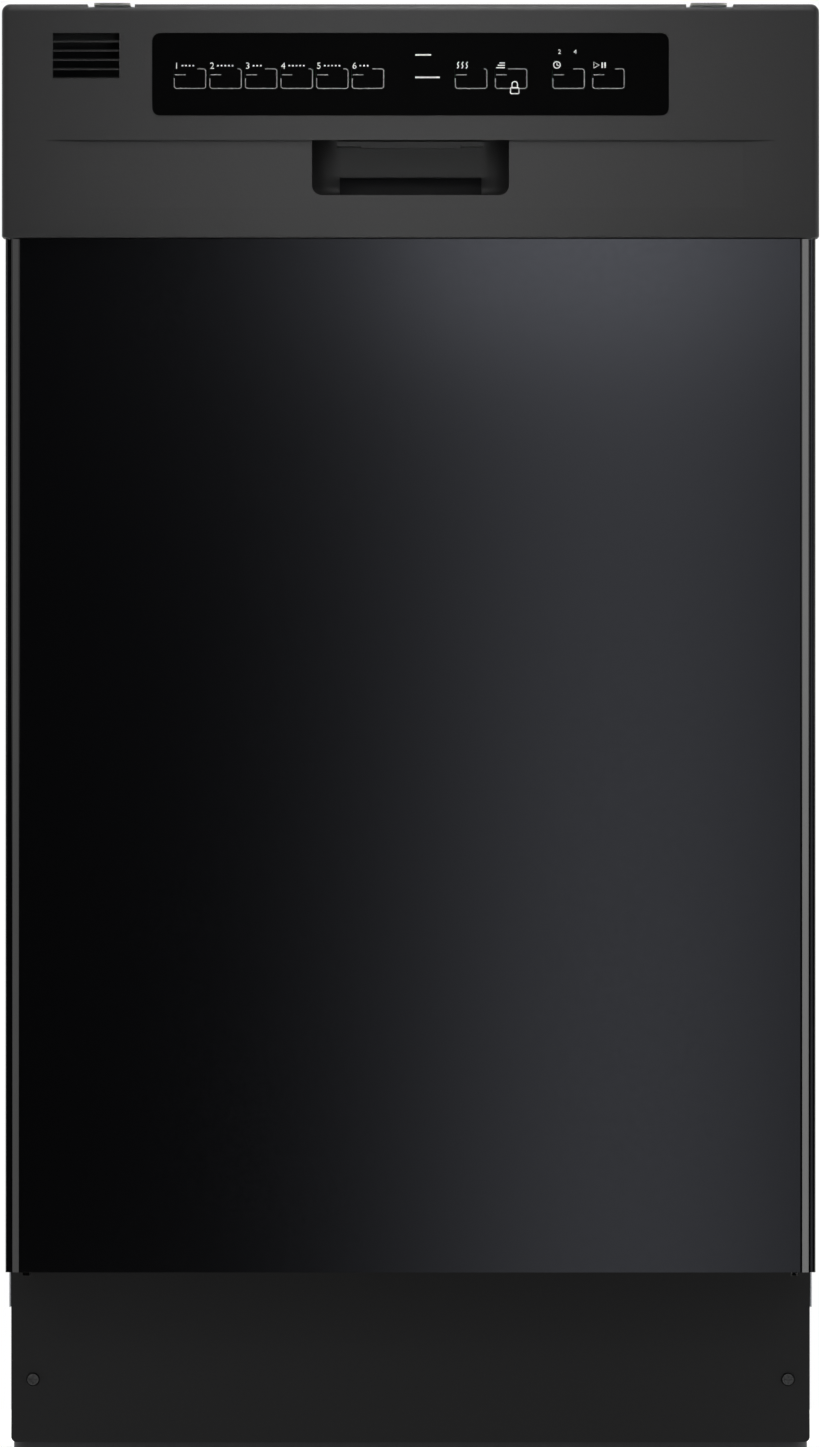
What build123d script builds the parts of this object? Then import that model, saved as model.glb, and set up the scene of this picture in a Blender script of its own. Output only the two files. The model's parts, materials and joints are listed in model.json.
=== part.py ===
from build123d import *
import os

os.makedirs("parts", exist_ok=True)

# Overall size in millimetres
overall_height = 825.5
overall_depth = 571.5
console_width = 447.7
door_width = 444.2
cabinet_width = 442.0

# Heights on the front, above the floor
kick_bottom = 33.5
door_bottom = 128.5
console_top_drop = 2.0
console_height = 128.0
console_top = overall_height - console_top_drop
console_bottom = console_top - console_height
tub_floor = 150.0
tub_ceiling_drop = 28.5
tub_ceiling = overall_height - tub_ceiling_drop

# Clearances
running_gap = 0.1
part_gap = 0.3
door_reveal = 0.5
tub_depth_gap = 28.0

# Sheet and wall thicknesses
door_sheet = 0.9
liner_sheet = 0.8
tub_sheet = 0.8
side_sheet = 0.8
frame_sheet = 1.2
bracket_sheet = 1.2
kick_sheet = 1.0
console_wall = 3.2
base_wall = 3.0

# Door layout from front to back
console_proud = 9.0
door_thickness = 54.0
hinge_inset = 6.0
hinge_rise = 10.5
seal_depth = 9.0
kick_clearance = 5.0

front_y = -overall_depth / 2
back_y = overall_depth / 2
door_face_y = front_y + console_proud
liner_y = door_face_y + door_thickness
hinge_y = liner_y - hinge_inset
hinge_z = door_bottom + hinge_rise
tub_front_y = liner_y + seal_depth
tub_back_y = back_y - tub_depth_gap
kick_front_y = hinge_y + hinge_rise + kick_clearance
base_front_y = kick_front_y + kick_sheet

# Cabinet layout from the outside in
side_gap = 1.5
hinge_plate = 2.5
arm_gap = 0.5
arm_sheet = 2.5
flange_gap = 0.7
tub_flange = 8.5

side_half = cabinet_width / 2
side_in = side_half - side_sheet
base_half = side_in - side_gap
plate_out = base_half - base_wall
plate_in = plate_out - hinge_plate
arm_out = plate_in - arm_gap
arm_in = arm_out - arm_sheet
flange_half = arm_in - flange_gap
tub_half = flange_half - tub_flange

# Top frame and base heights
base_bottom = 30.0
base_rear_gap = 12.0
frame_gap = 0.5
base_top = tub_floor - tub_sheet
base_back_y = back_y - base_rear_gap
frame_top = overall_height - bracket_sheet
frame_bottom = tub_ceiling + tub_flange + frame_gap


def facing_front(y):
    return Plane((0, y, 0), x_dir=(1, 0, 0), z_dir=(0, -1, 0))


def facing_up(z):
    return Plane((0, 0, z), x_dir=(1, 0, 0), z_dir=(0, 0, 1))


def facing_right(x):
    return Plane((x, 0, 0), x_dir=(0, 1, 0), z_dir=(1, 0, 0))


def block(x0, x1, y0, y1, z0, z1, mode=Mode.ADD):
    with Locations(((x0 + x1) / 2, (y0 + y1) / 2, (z0 + z1) / 2)):
        Box(abs(x1 - x0), abs(y1 - y0), abs(z1 - z0), mode=mode)


def rod(start, end, radius, mode=Mode.ADD):
    run = Vector(*end) - Vector(*start)
    with BuildSketch(Plane(origin=start, z_dir=run)) as section:
        Circle(radius)
    extrude(section.sketch, amount=run.length, mode=mode)


def save(part, label):
    part.label = label
    export_step(part, f"parts/{label}.step")


# Levelling legs with round foot, hex collar and stem
foot_radius = 19.0
foot_height = 9.0
collar_size = 24.0
collar_height = 10.0
stem_radius = 5.0
stem_length = 84.0
leg_inset_x = 30.0
leg_inset_y = 36.0
socket_wall = 6.0
socket_height = 42.0
leg_x = base_half - leg_inset_x
leg_front_y = base_front_y + leg_inset_y
leg_rear_y = base_back_y - leg_inset_y
socket_bottom = foot_height + collar_height + part_gap


def levelling_leg(label, x, y):
    with BuildPart() as leg:
        with BuildSketch(facing_up(0)):
            with Locations((x, y)):
                Circle(foot_radius)
        extrude(amount=foot_height)
        chamfer(leg.edges().group_by(Axis.Z)[-1], 3.0)
        with BuildSketch(facing_up(foot_height)):
            with Locations((x, y)):
                RegularPolygon(collar_size / 2, 6, major_radius=False)
        extrude(amount=collar_height)
        with BuildSketch(facing_up(foot_height + collar_height)):
            with Locations((x, y)):
                Circle(stem_radius)
        extrude(amount=stem_length)
    save(leg.part, label)


levelling_leg("leg_front_left", -leg_x, leg_front_y)
levelling_leg("leg_front_right", leg_x, leg_front_y)
levelling_leg("leg_rear_left", -leg_x, leg_rear_y)
levelling_leg("leg_rear_right", leg_x, leg_rear_y)

# Base tray, open at the top, with leg sockets and service openings
base_corner = 14.0
base_window_half = 168.0
base_window_bottom = 48.0
base_window_top = 120.0
rear_port_half = 150.0
rear_port_top = 112.0
hinge_slot_bottom = 118.0
arm_slot_in = arm_in - 1.5
screw_x = 208.0
screw_z = 68.0
screw_radius = 2.0
screw_length = 14.0

with BuildPart() as base_tray:
    with BuildSketch(facing_up(base_bottom)):
        with Locations((0, (base_front_y + base_back_y) / 2)):
            RectangleRounded(2 * base_half, base_back_y - base_front_y, base_corner)
    extrude(amount=base_top - base_bottom)
    with BuildSketch(facing_up(base_bottom + base_wall)):
        with Locations((0, (base_front_y + base_back_y) / 2)):
            RectangleRounded(2 * plate_out, base_back_y - base_front_y - 2 * base_wall,
                             base_corner - base_wall)
    extrude(amount=base_top - base_bottom - base_wall, mode=Mode.SUBTRACT)
    block(-base_window_half, base_window_half, base_front_y - 1, base_front_y + base_wall + 1,
          base_window_bottom, base_window_top, Mode.SUBTRACT)
    block(-rear_port_half, rear_port_half, base_back_y - base_wall - 1, base_back_y + 1,
          base_window_bottom, rear_port_top, Mode.SUBTRACT)
    for side in (-1, 1):
        block(side * arm_slot_in, side * plate_out, base_front_y - 1, base_front_y + base_corner,
              hinge_slot_bottom, base_top + 1, Mode.SUBTRACT)
        block(side * (arm_in - 4), side * (arm_in - 1), leg_front_y + 30, leg_rear_y - 30,
              base_bottom + base_wall, base_bottom + base_wall + 14)
        for y in (leg_front_y, leg_rear_y):
            with Locations((side * leg_x, y, socket_bottom)):
                Cylinder(stem_radius + socket_wall, socket_height,
                         align=(Align.CENTER, Align.CENTER, Align.MIN))
    for x in (-leg_x, leg_x):
        for y in (leg_front_y, leg_rear_y):
            with Locations((x, y, socket_bottom - 1)):
                Cylinder(stem_radius + running_gap, socket_height + 2,
                         align=(Align.CENTER, Align.CENTER, Align.MIN), mode=Mode.SUBTRACT)
    for side in (-1, 1):
        rod((side * screw_x, base_front_y - 1, screw_z),
            (side * screw_x, base_front_y + screw_length, screw_z),
            screw_radius + running_gap, Mode.SUBTRACT)
save(base_tray.part, "base_tray")

# Tub of stainless sheet with front flange
tub_corner = 10.0
tub_height = tub_ceiling - tub_floor
tub_mid_z = (tub_floor + tub_ceiling) / 2
sump_y = 20.0
sump_hole = 76.0
float_stem = 5.0
float_inset_x = 62.0
float_inset_y = 46.0
float_x = -tub_half + float_inset_x
float_y = tub_front_y + float_inset_y
element_radius = 4.0
element_post = 6.5
element_half = 132.0
element_rear_y = sump_y + 150.0

with BuildPart() as tub:
    with BuildSketch(facing_front(tub_front_y)):
        with Locations((0, tub_mid_z)):
            RectangleRounded(2 * flange_half, tub_height + 2 * tub_flange, tub_corner / 2)
    extrude(amount=-tub_sheet)
    with BuildSketch(facing_front(tub_front_y)):
        with Locations((0, tub_mid_z)):
            RectangleRounded(2 * (tub_half + tub_sheet), tub_height + 2 * tub_sheet, tub_corner + tub_sheet)
    extrude(amount=-(tub_back_y + tub_sheet - tub_front_y))
    with BuildSketch(facing_front(tub_front_y - 1)):
        with Locations((0, tub_mid_z)):
            RectangleRounded(2 * tub_half, tub_height, tub_corner)
    extrude(amount=-(tub_back_y - tub_front_y + 1), mode=Mode.SUBTRACT)
    with Locations((0, sump_y, tub_floor)):
        Cylinder(sump_hole, 10, mode=Mode.SUBTRACT)
    with Locations((float_x, float_y, tub_floor)):
        Cylinder(float_stem + running_gap, 10, mode=Mode.SUBTRACT)
    with Locations((-element_half, element_rear_y, tub_floor), (element_half, element_rear_y, tub_floor)):
        Cylinder(element_post + running_gap, 10, mode=Mode.SUBTRACT)
save(tub.part, "tub")

# Felt mats on the tub's top, back and sides
mat_thickness = 4.0
mat_margin = 32.0
tub_out = tub_half + tub_sheet
mat_rear_y = tub_back_y + tub_sheet

with BuildPart() as tub_mats:
    with BuildSketch(facing_up(tub_ceiling + tub_sheet)):
        with Locations((0, (tub_front_y + tub_back_y) / 2)):
            RectangleRounded(2 * (tub_half - mat_margin), tub_back_y - tub_front_y - 2 * mat_margin, 20)
    extrude(amount=mat_thickness)
    with BuildSketch(facing_front(mat_rear_y)):
        with Locations((0, tub_mid_z)):
            RectangleRounded(2 * (tub_half - mat_margin), tub_height - 2 * mat_margin, 20)
    extrude(amount=-mat_thickness)
    for side in (-1, 1):
        with BuildSketch(facing_right(side * tub_out)):
            with Locations(((tub_front_y + tub_back_y) / 2, tub_mid_z)):
                RectangleRounded(tub_back_y - tub_front_y - 2 * mat_margin, tub_height - 2 * mat_margin, 20)
        extrude(amount=side * mat_thickness)
save(tub_mats.part, "tub_mats")

# Tub seal round the sides and top of the opening
seal_width = 7.5
seal_lap = 0.5
seal_end_z = tub_floor + 14.0
seal_in = tub_half + seal_lap
seal_out = seal_in + seal_width
seal_reach = seal_depth - part_gap

with BuildPart() as tub_seal:
    with BuildSketch(facing_front(tub_front_y)):
        with Locations((0, tub_mid_z)):
            RectangleRounded(2 * seal_out, tub_height + 2 * (seal_out - tub_half), tub_corner + seal_width)
            RectangleRounded(2 * seal_in, tub_height + 2 * (seal_in - tub_half), tub_corner,
                             mode=Mode.SUBTRACT)
        with Locations((0, seal_end_z - 50)):
            Rectangle(4 * seal_out, 100, mode=Mode.SUBTRACT)
    extrude(amount=seal_reach)
    chamfer(tub_seal.faces().sort_by(Axis.Y)[0].edges(), 2.0)
save(tub_seal.part, "tub_seal")

# Top frame, an angle across the front with a slot and keeper lip for the latch
frame_reach = 48.0
keeper_half = 14.0
hook_drop = 10.5
hook_z = overall_height - hook_drop
hook_thick = 4.0
tooth_drop = 4.0
keeper_y = tub_front_y + 3.0
keeper_thick = 2.4
keeper_top = hook_z - hook_thick / 2 - tooth_drop - part_gap
frame_back_y = tub_front_y + frame_reach
slot_half = 9.0
slot_top = hook_z + 6.0

with BuildPart() as top_frame:
    block(-side_in, side_in, tub_front_y, tub_front_y + frame_sheet, frame_bottom, frame_top)
    block(-side_in, side_in, tub_front_y, frame_back_y, frame_top - frame_sheet, frame_top)
    block(-side_in, side_in, frame_back_y - frame_sheet, frame_back_y, frame_top - 14, frame_top)
    block(-slot_half, slot_half, tub_front_y - 1, tub_front_y + frame_sheet + 1, frame_bottom - 1, slot_top,
          Mode.SUBTRACT)
    for side in (-1, 1):
        block(side * slot_half, side * keeper_half, tub_front_y, keeper_y + keeper_thick,
              frame_bottom, slot_top)
    block(-keeper_half, keeper_half, keeper_y, keeper_y + keeper_thick, frame_bottom - 3, keeper_top)
save(top_frame.part, "top_frame")

# Mounting brackets that screw up into the worktop
bracket_x = 164.0
bracket_width = 20.0
bracket_reach = 30.0
bracket_tail = 28.0
bracket_hole = 2.6
bracket_hole_reach = 19.0
bracket_hole_y = tub_front_y - bracket_hole_reach

with BuildPart() as mounting_brackets:
    for side in (-1, 1):
        with BuildSketch(facing_up(frame_top)):
            with Locations((side * bracket_x, tub_front_y + (bracket_tail - bracket_reach) / 2)):
                RectangleRounded(bracket_width, bracket_tail + bracket_reach, 4)
            with Locations((side * bracket_x, bracket_hole_y)):
                Circle(bracket_hole, mode=Mode.SUBTRACT)
        extrude(amount=bracket_sheet)
save(mounting_brackets.part, "mounting_brackets")

# Side panels, folded in at the front and top, with two pressed fields
side_bottom = 108.0
fold_bottom = 172.0
top_fold = 14.0
press_depth = 3.0
press_corner = 26.0
press_margin = 48.0
press_taper = 40.0
press_split_z = (fold_bottom + frame_top) / 2
press_length = back_y - tub_front_y - 2 * press_margin


def side_panel(label, side):
    with BuildPart() as panel:
        block(side * side_in, side * side_half, tub_front_y, back_y, side_bottom, frame_top)
        block(side * (plate_in + part_gap), side * side_in, tub_front_y, tub_front_y + side_sheet,
              fold_bottom, frame_bottom - frame_gap)
        block(side * (side_half - top_fold), side * side_in, frame_back_y + frame_gap, back_y - 1,
              frame_top - side_sheet, frame_top)
        block(side * (side_half - top_fold), side * side_in, back_y - 16, back_y - 16 + side_sheet,
              base_top + 20, frame_top - 20)
        for low, high in ((fold_bottom + 8, press_split_z - 20), (press_split_z + 20, frame_top - 40)):
            for depth, mode in ((side_sheet, Mode.ADD), (0.0, Mode.SUBTRACT)):
                with BuildSketch(Plane((side * (side_half - depth), 0, 0),
                                       x_dir=(0, -side, 0), z_dir=(-side, 0, 0))):
                    with Locations((-side * (tub_front_y + back_y) / 2, (low + high) / 2)):
                        RectangleRounded(press_length, high - low, press_corner)
                extrude(amount=press_depth, taper=press_taper, mode=mode)
    save(panel.part, label)


side_panel("side_panel_left", -1)
side_panel("side_panel_right", 1)

# Rear panel with a pressed field and a row of hand slots
rear_bottom = base_top + 14.0
rear_top = frame_top - 2.0
rear_press = 3.0

with BuildPart() as rear_panel:
    block(-side_in, side_in, back_y - side_sheet, back_y, rear_bottom, rear_top)
    for depth, mode in ((side_sheet, Mode.ADD), (0.0, Mode.SUBTRACT)):
        with BuildSketch(facing_front(back_y - depth)):
            with Locations((0, (rear_bottom + rear_top) / 2)):
                RectangleRounded(2 * (side_in - press_margin), rear_top - rear_bottom - 2 * press_margin,
                                 press_corner)
        extrude(amount=rear_press, taper=press_taper, mode=mode)
    for side in (-1, 1):
        with BuildSketch(facing_front(back_y + 1)):
            with Locations((side * side_in / 2, rear_top - 26)):
                SlotOverall(90, 20)
        extrude(amount=side_sheet + 2, mode=Mode.SUBTRACT)
save(rear_panel.part, "rear_panel")

# Toe kick, folded sheet, notched at its top corners for the hinges
kick_width = 440.0
kick_top = door_bottom + 3.5
kick_return = 12.0
kick_corner = 3.0
kick_slot_margin = 0.9
kick_slot_bottom = 125.2
kick_notch_bottom = 129.4
screw_head = 3.8
screw_head_height = 2.2
kick_half = kick_width / 2

with BuildPart() as toe_kick:
    with BuildSketch(facing_front(kick_front_y + kick_sheet)):
        with Locations((0, (kick_bottom + kick_top) / 2)):
            RectangleRounded(kick_width, kick_top - kick_bottom, kick_corner)
        with Locations((-screw_x, screw_z), (screw_x, screw_z)):
            Circle(screw_radius + running_gap, mode=Mode.SUBTRACT)
    extrude(amount=kick_sheet)
    for side in (-1, 1):
        block(side * (arm_in - kick_slot_margin), side * (arm_out + kick_slot_margin), kick_front_y - 1,
              kick_front_y + kick_sheet + 1, kick_slot_bottom, kick_top + 1, Mode.SUBTRACT)
        block(side * (arm_in - kick_slot_margin), side * (kick_half + 1), kick_front_y - 1,
              kick_front_y + kick_sheet + 1, kick_notch_bottom, kick_top + 1, Mode.SUBTRACT)
        block(side * (kick_half - kick_sheet), side * kick_half, kick_front_y, kick_front_y + kick_return,
              kick_bottom + kick_corner, kick_notch_bottom - 2)
save(toe_kick.part, "toe_kick")

# Toe kick screws with cross recess
cross_arm = 2.2
cross_width = 0.9
cross_depth = 1.2

with BuildPart() as toe_kick_screws:
    for side in (-1, 1):
        with BuildSketch(facing_front(kick_front_y)):
            with Locations((side * screw_x, screw_z)):
                Circle(screw_head)
        extrude(amount=screw_head_height, taper=18)
        with BuildSketch(facing_front(kick_front_y)):
            with Locations((side * screw_x, screw_z)):
                Circle(screw_radius)
        extrude(amount=-(kick_sheet + screw_length - 1))
        for width, height in ((2 * cross_arm, cross_width), (cross_width, 2 * cross_arm)):
            with Locations((side * screw_x, kick_front_y - screw_head_height, screw_z)):
                Box(width, 2 * cross_depth, height, mode=Mode.SUBTRACT)
save(toe_kick_screws.part, "toe_kick_screws")

# Hinge plates on the base with pivot pins
pin_radius = 4.0
pin_reach = 1.6
pin_head = 4.7
nose_radius = 9.0
plate_front_y = base_front_y + 8.0
plate_length = 62.0
plate_bottom = 131.0

with BuildPart() as hinge_plates:
    for side in (-1, 1):
        with BuildSketch(facing_right(side * plate_in)):
            with Locations((hinge_y, hinge_z)):
                Circle(nose_radius)
            with Locations((plate_front_y + plate_length / 2, (plate_bottom + base_top) / 2)):
                Rectangle(plate_length, base_top - plate_bottom - 1)
            make_hull()
        extrude(amount=side * hinge_plate)
        with BuildSketch(facing_right(side * plate_in)):
            with Locations((hinge_y, hinge_z)):
                Circle(pin_radius)
        extrude(amount=-side * (plate_in - arm_in + pin_reach))
        with BuildSketch(facing_right(side * (arm_in - part_gap))):
            with Locations((hinge_y, hinge_z)):
                Circle(pin_head)
        extrude(amount=-side * (pin_reach - part_gap))
save(hinge_plates.part, "hinge_plates")

# Hinge arms of the door, each with a tail for its spring
arm_top_z = hinge_z + 118.0
arm_head = 10.0
tail_y = hinge_y + 24.0
tail_z = hinge_z - 9.0
tail_radius = 5.0
tail_hole = 2.0
liner_front_y = liner_y - liner_sheet

with BuildPart() as hinge_arms:
    for side in (-1, 1):
        with BuildSketch(facing_right(side * arm_in)):
            with Locations((hinge_y - 2, hinge_z)):
                Circle(nose_radius - 2)
            with Locations((liner_front_y - arm_head, arm_top_z - arm_head)):
                Rectangle(2 * arm_head, 2 * arm_head)
            make_hull()
        extrude(amount=side * arm_sheet)
        with BuildSketch(facing_right(side * arm_in)):
            with Locations((hinge_y, hinge_z)):
                Circle(nose_radius)
            with Locations((tail_y, tail_z)):
                Circle(tail_radius)
            make_hull()
        extrude(amount=side * arm_sheet)
        for y, z, radius in ((hinge_y, hinge_z, pin_radius + running_gap), (tail_y, tail_z, tail_hole)):
            with BuildSketch(facing_right(side * (arm_in - 1))):
                with Locations((y, z)):
                    Circle(radius)
            extrude(amount=side * (arm_sheet + 2), mode=Mode.SUBTRACT)
save(hinge_arms.part, "hinge_arms")

# Door springs in the base, hooked from the arm's tail to an anchor on the tray floor
spring_radius = 5.5
spring_wire = 1.2
spring_length = 120.0
spring_turns = 12
spring_z = 96.0
spring_start_y = plate_front_y + plate_length + 12.0
spring_x = arm_in - 1.0 - spring_radius
turn_pitch = spring_length / spring_turns

with BuildPart() as door_springs:
    for side in (-1, 1):
        with BuildSketch(Plane((side * spring_x, spring_start_y, spring_z),
                               x_dir=(0, 1, 0), z_dir=(1, 0, 0))):
            with BuildLine():
                Polyline((0, 0), *[(turn * turn_pitch / 2, spring_radius - 1.2 * (turn % 2))
                                   for turn in range(2 * spring_turns + 1)], (spring_length, 0), close=True)
            make_face()
        revolve(axis=Axis((side * spring_x, spring_start_y, spring_z), (0, 1, 0)))
        with BuildLine() as hook_path:
            FilletPolyline((side * spring_x, spring_start_y + 6, spring_z),
                           (side * spring_x, tail_y, tail_z),
                           (side * (arm_out + 0.5), tail_y, tail_z), radius=3.0)
        with BuildSketch(Plane(origin=hook_path.line @ 0, z_dir=hook_path.line % 0)):
            Circle(spring_wire)
        sweep(path=hook_path.line)
        block(side * (spring_x - 5), side * (spring_x + 2), spring_start_y + spring_length,
              spring_start_y + spring_length + 4, base_bottom + base_wall, spring_z + 8)
save(door_springs.part, "door_springs")

# Sump under the tub, with the post that carries the lower spray arm
sump_flange = 88.0
sump_wall = 2.6
sump_bottom = 62.0
sump_base_radius = 56.0
post_radius = 9.0
post_bore = 6.0
post_top = 168.0

with BuildPart() as sump:
    with BuildSketch(facing_front(sump_y)):
        with BuildLine():
            Polyline((0, sump_bottom), (sump_base_radius, sump_bottom), (sump_hole - 2, base_top - 12),
                     (sump_hole - 2, base_top - sump_wall), (sump_flange, base_top - sump_wall),
                     (sump_flange, base_top), (sump_hole - 2 - sump_wall, base_top),
                     (sump_hole - 2 - sump_wall, base_top - 12),
                     (sump_base_radius - sump_wall, sump_bottom + sump_wall),
                     (post_radius, sump_bottom + sump_wall), (post_radius, post_top), (post_bore, post_top),
                     (post_bore, sump_bottom + sump_wall), (0, sump_bottom + sump_wall), close=True)
        make_face()
    revolve(axis=Axis((0, sump_y, 0), (0, 0, 1)))
save(sump.part, "sump")

# Filter plate over the sump and the twist-out filter cup
plate_radius = 96.0
plate_thick = 1.6
cup_radius = 22.0
cup_x = 32.0
cup_y = sump_y - 16.0
cup_depth = 52.0
cup_rim = 25.0
cup_rim_height = 3.0
cup_wall = 1.6
grip_height = 3.0

with BuildPart() as filter_plate:
    with BuildSketch(facing_up(tub_floor)):
        with Locations((0, sump_y)):
            Circle(plate_radius)
            Circle(post_radius + part_gap, mode=Mode.SUBTRACT)
        with Locations((cup_x, cup_y)):
            Circle(cup_radius + part_gap, mode=Mode.SUBTRACT)
    extrude(amount=plate_thick)
    with BuildSketch(facing_up(tub_floor + plate_thick)):
        with Locations((0, sump_y)):
            Circle(plate_radius)
            Circle(plate_radius - 5, mode=Mode.SUBTRACT)
    extrude(amount=1.6)
save(filter_plate.part, "filter_plate")

cup_top = tub_floor + plate_thick + part_gap

with BuildPart() as filter_cup:
    with Locations((cup_x, cup_y, cup_top)):
        Cylinder(cup_rim, cup_rim_height, align=(Align.CENTER, Align.CENTER, Align.MIN))
        Cylinder(cup_radius, cup_depth, align=(Align.CENTER, Align.CENTER, Align.MAX))
    with Locations((cup_x, cup_y, cup_top - cup_depth + 3)):
        Cylinder(cup_radius - cup_wall, cup_depth + 10, align=(Align.CENTER, Align.CENTER, Align.MIN),
                 mode=Mode.SUBTRACT)
    block(cup_x - cup_radius + cup_wall / 2, cup_x + cup_radius - cup_wall / 2, cup_y - 2, cup_y + 2,
          cup_top - 16, cup_top + cup_rim_height + grip_height)
save(filter_cup.part, "filter_cup")

# Float of the flood switch
float_radius = 17.0
float_height = 13.0
float_gap = 2.0
stem_drop = 18.0

with BuildPart() as flood_float:
    with Locations((float_x, float_y, tub_floor + float_gap)):
        Cylinder(float_radius, float_height, align=(Align.CENTER, Align.CENTER, Align.MIN))
    chamfer(flood_float.edges().group_by(Axis.Z)[-1], 3.0)
    with Locations((float_x, float_y, tub_floor + float_gap)):
        Cylinder(float_stem, stem_drop, align=(Align.CENTER, Align.CENTER, Align.MAX))
save(flood_float.part, "flood_float")

# Heating element, one bent tube on two posts through the tub floor
element_z = tub_floor + 5.6
element_front_y = sump_y - 112.0
element_bend = 34.0
post_drop = 24.0

with BuildPart() as heating_element:
    with BuildLine() as element_path:
        FilletPolyline((-element_half, element_rear_y, element_z),
                       (-element_half, element_front_y, element_z),
                       (element_half, element_front_y, element_z),
                       (element_half, element_rear_y, element_z),
                       radius=element_bend)
    with BuildSketch(Plane(origin=element_path.line @ 0, z_dir=element_path.line % 0)):
        Circle(element_radius)
    sweep()
    for side in (-1, 1):
        with Locations((side * element_half, element_rear_y, tub_floor - post_drop)):
            Cylinder(element_post, post_drop + 11, align=(Align.CENTER, Align.CENTER, Align.MIN))
save(heating_element.part, "heating_element")

# Wash pump beside the sump
pump_radius = 40.0
pump_length = 86.0
volute_radius = 48.0
volute_width = 24.0
pump_y = sump_y + 40.0
pump_z = base_bottom + base_wall + 54.0
pump_x = -(sump_hole + 14.0)

with BuildPart() as wash_pump:
    rod((pump_x, pump_y, pump_z), (pump_x - volute_width, pump_y, pump_z), volute_radius)
    rod((pump_x - volute_width, pump_y, pump_z),
        (pump_x - volute_width - pump_length, pump_y, pump_z), pump_radius)
    rod((pump_x + 16, pump_y, pump_z), (pump_x, pump_y, pump_z), 15)
    for x in (pump_x - volute_width / 2, pump_x - volute_width - pump_length + 14):
        block(x - 6, x + 6, pump_y - 26, pump_y + 26, base_bottom + base_wall, pump_z)
save(wash_pump.part, "wash_pump")

# Drain pump with its spigot through the rear of the base
drain_x = 96.0
drain_z = base_bottom + base_wall + 40.0
drain_radius = 26.0
drain_length = 62.0
drain_y = 168.0
spigot_radius = 9.5
spigot_length = 26.0

with BuildPart() as drain_pump:
    rod((drain_x, drain_y, drain_z), (drain_x, drain_y + drain_length, drain_z), drain_radius)
    rod((drain_x, drain_y + drain_length, drain_z), (drain_x, back_y, drain_z), spigot_radius)
    rod((drain_x, back_y - spigot_length, drain_z),
        (drain_x, back_y - spigot_length - 4, drain_z), spigot_radius + 6)
    rod((drain_x, drain_y, drain_z), (sump_base_radius * 0.78, sump_y + 66, drain_z), 12)
    rod((drain_x, drain_y, drain_z), (drain_x, back_y + 1, drain_z), spigot_radius - 3, Mode.SUBTRACT)
    for y in (drain_y + 12, drain_y + drain_length - 12):
        block(drain_x - 18, drain_x + 18, y - 5, y + 5, base_bottom + base_wall, drain_z - spigot_radius)
save(drain_pump.part, "drain_pump")

# Inlet valve with its hose thread at the rear
valve_x = -96.0
valve_z = drain_z
valve_width = 44.0
valve_height = 36.0
valve_depth = 54.0
thread_radius = 13.3
thread_length = 16.0
valve_bore = 8.0

with BuildPart() as inlet_valve:
    block(valve_x - valve_width / 2, valve_x + valve_width / 2, base_back_y - base_wall - valve_depth,
          base_back_y - base_wall - 4, valve_z - valve_height / 2, valve_z + valve_height / 2)
    rod((valve_x, base_back_y - base_wall - 4, valve_z),
        (valve_x, back_y - thread_length, valve_z), thread_radius + 3)
    rod((valve_x, back_y - thread_length, valve_z), (valve_x, back_y, valve_z), thread_radius)
    rod((valve_x, back_y - 2 * thread_length, valve_z), (valve_x, back_y + 1, valve_z), valve_bore,
        Mode.SUBTRACT)
    with Locations((valve_x, base_back_y - base_wall - valve_depth / 2 - 2, valve_z + valve_height / 2)):
        Cylinder(14, 26, align=(Align.CENTER, Align.CENTER, Align.MIN))
    block(valve_x - 12, valve_x + 12, base_back_y - base_wall - valve_depth + 6, base_back_y - base_wall - 12,
          base_bottom + base_wall, valve_z - valve_height / 2)
save(inlet_valve.part, "inlet_valve")

# Junction box behind the toe kick
box_x = 138.0
box_width = 62.0
box_depth = 70.0
box_height = 44.0
box_sheet = 1.2
knockout = 11.0
box_front_y = base_front_y + base_wall + 16.0

with BuildPart() as junction_box:
    block(box_x - box_width / 2, box_x + box_width / 2, box_front_y, box_front_y + box_depth,
          base_bottom + base_wall, base_bottom + base_wall + box_height)
    block(box_x - box_width / 2 + box_sheet, box_x + box_width / 2 - box_sheet, box_front_y + box_sheet,
          box_front_y + box_depth - box_sheet, base_bottom + base_wall + box_sheet,
          base_bottom + base_wall + box_height - box_sheet, Mode.SUBTRACT)
    with BuildSketch(facing_front(box_front_y + box_depth + 1)):
        with Locations((box_x, base_bottom + base_wall + box_height / 2)):
            Circle(knockout)
    extrude(amount=box_sheet + 2, mode=Mode.SUBTRACT)
save(junction_box.part, "junction_box")

# Rack rails on the tub walls
rail_depth = 14.0
rail_height = 24.0
rail_sheet = 1.5
rail_z = 560.0
rail_front_y = tub_front_y + 18.0
rail_back_y = tub_back_y - 12.0

with BuildPart() as rack_rails:
    for side in (-1, 1):
        block(side * tub_half, side * (tub_half - rail_depth), rail_front_y, rail_back_y,
              rail_z - rail_height / 2, rail_z + rail_height / 2)
        block(side * (tub_half - rail_sheet), side * (tub_half - rail_depth - 1), rail_front_y - 1,
              rail_back_y - 3, rail_z - rail_height / 2 + rail_sheet, rail_z + rail_height / 2 - rail_sheet,
              Mode.SUBTRACT)
save(rack_rails.part, "rack_rails")

# Racks made of flat wire panels
wire = 3.4
rack_rear_gap = 24.0
rack_front_gap = 50.0
rack_front_y = tub_front_y + rack_front_gap
rack_back_y = tub_back_y - rack_rear_gap
rack_depth = rack_back_y - rack_front_y
rack_mid_y = (rack_front_y + rack_back_y) / 2


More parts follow.
